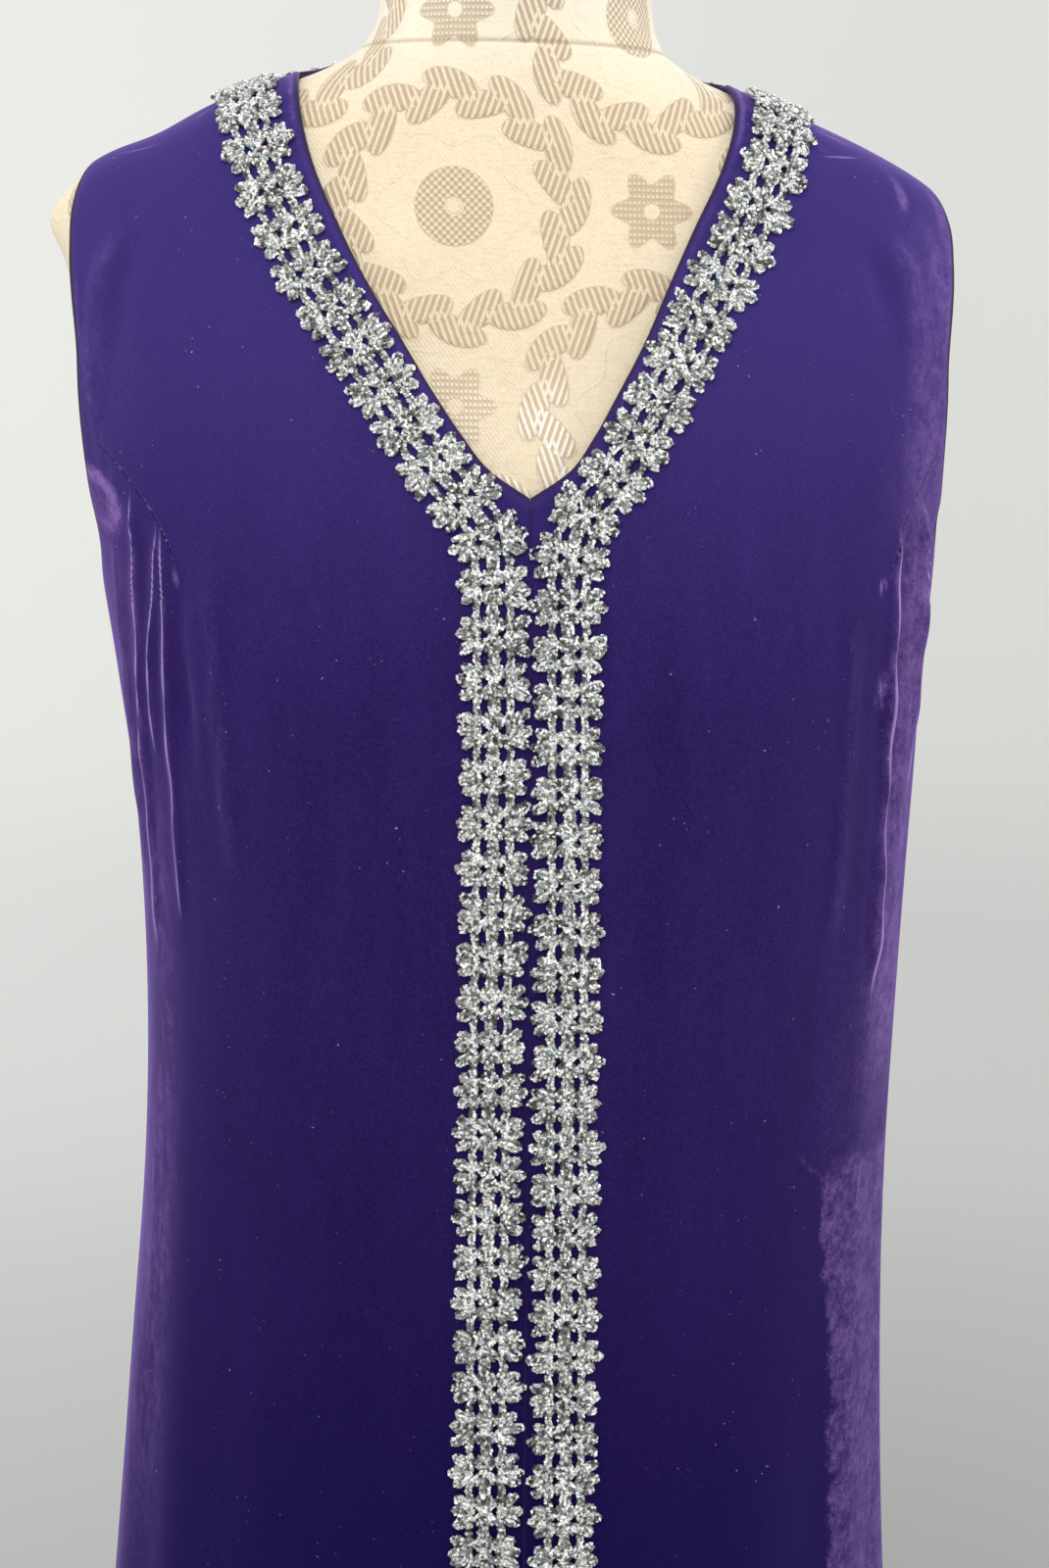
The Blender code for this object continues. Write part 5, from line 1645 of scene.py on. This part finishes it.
class CaftanSizes(bpy.types.PropertyGroup):
    """Sizes of the sewn and braided pieces"""

    cloth_thickness: length_property("Cloth thickness", "Velvet with its pile", 0.0018)
    edge_roll: length_property("Edge roll", "How far in from an edge the cloth rounds off", 0.0020)
    crease_share: FloatProperty(name="Creases", description="Strength of small creases", default=1.0, min=0.0)
    back_columns: IntProperty(name="Back columns", description="Over half of the back", default=48, min=24)
    panel_columns: IntProperty(name="Front columns", description="Columns over one front", default=76, min=24)
    form_columns: IntProperty(name="Form columns", description="Divisions round the dress form", default=120)
    grain_spacing: length_property("Grain spacing", "From one turn of the thread to the next", 0.00136)
    grain_length: length_property("Grain length", "Length of one turn of the thread", 0.00215)
    grain_width: length_property("Grain width", "Thickness of the thread", 0.00156)


class CaftanColours(bpy.types.PropertyGroup):
    """Colours of the finishes"""

    velvet: colour_property("Velvet", "Pile that stands up", (0.029, 0.0136, 0.118))
    velvet_deep: colour_property("Velvet, deep", "Pile that is brushed down", (0.0120, 0.0050, 0.058))
    # Painted shade: the lower skirt is darker, as if less light reaches it.
    velvet_skirt_shade: colour_property("Velvet, skirt", "Pile of the lower skirt", (0.0050, 0.0012, 0.056))
    # Partly the lie of the nap, partly painted light from above on the chest and shoulders.
    velvet_chest_nap_and_light: colour_property("Velvet, chest", "Pile on the chest and shoulders", (0.056, 0.036, 0.205))
    # Crushed pile, and painted sheen and highlights down the sides, on creases and on the shoulders.
    velvet_crush_and_sheen: colour_property("Velvet, rubbed", "Crushed pile on creases", (0.230, 0.130, 0.390))
    # Painted highlight on the crests of sharp creases, on pile partly worn there.
    velvet_crest_highlight: colour_property("Velvet, crest", "Pile worn on sharp creases", (0.450, 0.320, 0.640))
    lint: colour_property("Lint", "Specks of pale lint on the pile", (0.420, 0.380, 0.520))
    sheen: colour_property("Sheen", "Light on the tips of the pile", (0.48, 0.31, 0.90))
    edge: colour_property("Edge", "Turned edge at the neck and armholes", (0.030, 0.026, 0.030))
    thread: colour_property("Thread", "Silver thread", (0.97, 0.98, 0.945))
    thread_shade: colour_property("Thread, in the twist", "Dark between its turns", (0.120, 0.118, 0.105))
    cover: colour_property("Form cover", "Ground of the jacquard", (0.900, 0.772, 0.580))
    cover_bright: colour_property("Form cover, bright", "Satin that faces the light", (0.960, 0.920, 0.830))
    cover_shade: colour_property("Form cover, shade", "Satin that faces away", (0.525, 0.382, 0.232))
    wood: colour_property("Cap wood", "Wood of the neck cap", (0.300, 0.155, 0.070))
    metal: colour_property("Stand metal", "Lacquered metal of the stand", (0.055, 0.055, 0.060))
    paper: colour_property("Paper", "Floor and wall of the stage", (1.00, 1.00, 0.965))


# Operators


class MakesPiece:
    """Shared by the operators that make pieces of the caftan"""

    bl_options = {"REGISTER", "UNDO"}


class CAFTAN_OT_velvet_panels(MakesPiece, bpy.types.Operator):
    """Cut and hang the two fronts and the back of the caftan"""

    bl_idname = "caftan.velvet_panels"
    bl_label = "Velvet panels"

    def execute(self, context):
        sizes = context.scene.caftan_sizes
        finish = velvet(context.scene.caftan_colours)
        for node, side in (("front_left", 1), ("front_right", -1)):
            made, area = front_panel(f"velvet_{node}", side, sizes)
            placed(made, finish, "velvet", node)
        made, area = back_panel("velvet_back", sizes)
        placed(made, finish, "velvet", "back")
        return {"FINISHED"}


class CAFTAN_OT_flower_braid(MakesPiece, bpy.types.Operator):
    """Lay the silver flower braid down both sides of the front and round the neck"""

    bl_idname = "caftan.flower_braid"
    bl_label = "Flower braid"

    def execute(self, context):
        sizes, colours = context.scene.caftan_sizes, context.scene.caftan_colours
        finish = silver_thread(colours)
        for half, side in (("left", 1), ("right", -1)):
            for number, (stretch, first, last) in enumerate(STRETCHES):
                made = braid(f"braid_{half}_{stretch}", side, first, last, BRAID_SEEDS[half] + number, sizes)
                placed(made, finish, "silver_braid", f"braid_{half}")
        return {"FINISHED"}


class CAFTAN_OT_dress_form(MakesPiece, bpy.types.Operator):
    """Cover the dress form, and turn the cap on its neck"""

    bl_idname = "caftan.dress_form"
    bl_label = "Dress form"

    def execute(self, context):
        colours = context.scene.caftan_colours
        made = covered_form("form_cover", context.scene.caftan_sizes)
        placed(made, form_cover(colours), "form_cover", "form_torso")
        made = turned_to_fit("turned_cap", "neck_cap", CAP_OUTLINE, 96)
        placed(made, cap_wood(colours), "cap_wood", "neck_cap")
        return {"FINISHED"}


class CAFTAN_OT_stand(MakesPiece, bpy.types.Operator):
    """Turn the pole, its collar and the round base"""

    bl_idname = "caftan.stand"
    bl_label = "Stand"

    def execute(self, context):
        finish = stand_metal(context.scene.caftan_colours)
        low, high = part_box("stand_base")
        centre, radius, top = (low + high) / 2, (high.x - low.x) / 2, high.z
        rim = [(radius + out, up) for out, up in BASE_FOOT]
        rim += [(radius + out, top + up) for out, up in BASE_RIM]
        rim += [(out, top + up) for out, up in BASE_HUB]
        placed(turned("base_plate", rim, centre, 128), finish, "stand_metal", "stand_base")
        low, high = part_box("stand_pole")
        radius = (high.x - low.x) / 2
        tube = [(radius - POLE_BEVEL, low.z), (radius, low.z + POLE_BEVEL)]
        tube += [(radius, high.z - POLE_BEVEL), (radius - POLE_BEVEL, high.z)]
        placed(turned("pole_tube", tube, centre, 64), finish, "stand_metal", "stand_pole")
        cup = turned_to_fit("collar_cup", "form_collar", COLLAR_OUTLINE, 64)
        placed(cup, finish, "stand_metal", "form_collar")
        return {"FINISHED"}


class CAFTAN_OT_stage(bpy.types.Operator):
    """Set the pale paper, the soft lights and the camera"""

    bl_idname = "caftan.stage"
    bl_label = "Stage"

    def execute(self, context):
        bends = np.linspace(0.0, math.pi / 2, 14)[1:]
        wall = [(FLOOR_RADIUS + WALL_BEND * math.sin(a), WALL_BEND - WALL_BEND * math.cos(a)) for a in bends]
        wall.append((FLOOR_RADIUS + WALL_BEND, WALL_TOP))
        bpy.ops.object.select_all(action="DESELECT")
        bpy.ops.mesh.primitive_circle_add(
            vertices=128, radius=FLOOR_RADIUS, fill_type="NGON", location=(0.0, 0.0, 0.0)
        )
        paper = context.object
        paper.name = paper.data.name = "studio_paper"
        bpy.ops.object.mode_set(mode="EDIT")
        bpy.ops.mesh.select_all(action="SELECT")
        bpy.ops.mesh.select_mode(type="EDGE")
        bpy.ops.mesh.region_to_loop()
        radius, low = FLOOR_RADIUS, 0.0
        for wide, high in wall:
            bpy.ops.mesh.extrude_edges_move(TRANSFORM_OT_translate={"value": (0.0, 0.0, high - low)})
            bpy.ops.transform.resize(value=(wide / radius, wide / radius, 1.0))
            radius, low = wide, high
        bpy.ops.mesh.select_mode(type="VERT")
        bpy.ops.mesh.select_all(action="SELECT")
        bpy.ops.mesh.normals_make_consistent(inside=True)
        bpy.ops.object.mode_set(mode="OBJECT")
        bpy.ops.object.shade_smooth()
        paper.data.materials.append(studio_paper(context.scene.caftan_colours))
        for name, settings in LIGHTS.items():
            light(name, *settings)
        world = bpy.data.worlds.new("Soft room")
        world.use_nodes = True
        world.node_tree.nodes["Background"].inputs["Color"].default_value = ROOM_COLOUR
        world.node_tree.nodes["Background"].inputs["Strength"].default_value = ROOM_POWER
        context.scene.world = world
        context.scene.view_settings.view_transform = "Standard"
        self.set_camera(context)
        return {"FINISHED"}

    def set_camera(self, context):
        """The photograph's own view: a little to one side, and 12 degrees down."""
        yaw, pitch, roll = (math.radians(CAMERA_ANGLES[key]) for key in ("yaw", "pitch", "roll"))
        right = Vector((math.cos(yaw), math.sin(yaw), 0.0))
        back = Vector((math.sin(yaw), -math.cos(yaw), 0.0))
        place = right * CAMERA["aim"] + back * CAMERA["distance"] + Vector((0.0, 0.0, CAMERA["height"]))
        ahead = -back * math.cos(pitch) - Vector((0.0, 0.0, math.sin(pitch)))
        up = right.cross(ahead)
        across = right * math.cos(roll) + up * math.sin(roll)
        above = up * math.cos(roll) - right * math.sin(roll)
        bpy.ops.object.camera_add(location=place)
        camera = context.object
        camera.name = "Camera"
        turned_way = Matrix((across, above, -ahead)).transposed().to_4x4()
        camera.matrix_world = Matrix.Translation(place) @ turned_way
        camera.data.sensor_fit = "AUTO"
        camera.data.sensor_width = 36.0
        camera.data.lens = CAMERA["lens"]
        camera.data.clip_start = 0.05
        context.scene.camera = camera


class CAFTAN_PT_pieces(bpy.types.Panel):
    """Pieces of the caftan, in the order that they are made"""

    bl_label = "Caftan"
    bl_idname = "CAFTAN_PT_pieces"
    bl_space_type = "VIEW_3D"
    bl_region_type = "UI"
    bl_category = "Caftan"

    def draw(self, context):
        for made in OPERATORS:
            self.layout.operator(made.bl_idname)
        for group in (context.scene.caftan_sizes, context.scene.caftan_colours):
            box = self.layout.box()
            for name in group.bl_rna.properties.keys():
                if name not in ("rna_type", "name"):
                    box.prop(group, name)


OPERATORS = (
    CAFTAN_OT_dress_form,
    CAFTAN_OT_velvet_panels,
    CAFTAN_OT_flower_braid,
    CAFTAN_OT_stand,
    CAFTAN_OT_stage,
)
CLASSES = (CaftanSizes, CaftanColours, *OPERATORS, CAFTAN_PT_pieces)


def register():
    for each in CLASSES:
        bpy.utils.register_class(each)
    bpy.types.Scene.caftan_sizes = PointerProperty(type=CaftanSizes)
    bpy.types.Scene.caftan_colours = PointerProperty(type=CaftanColours)


def unregister():
    del bpy.types.Scene.caftan_colours
    del bpy.types.Scene.caftan_sizes
    for each in reversed(CLASSES):
        bpy.utils.unregister_class(each)


def main():
    register()
    bpy.ops.caftan.dress_form()
    bpy.ops.caftan.velvet_panels()
    bpy.ops.caftan.flower_braid()
    bpy.ops.caftan.stand()
    bpy.ops.caftan.stage()


if __name__ == "__main__":
    main()
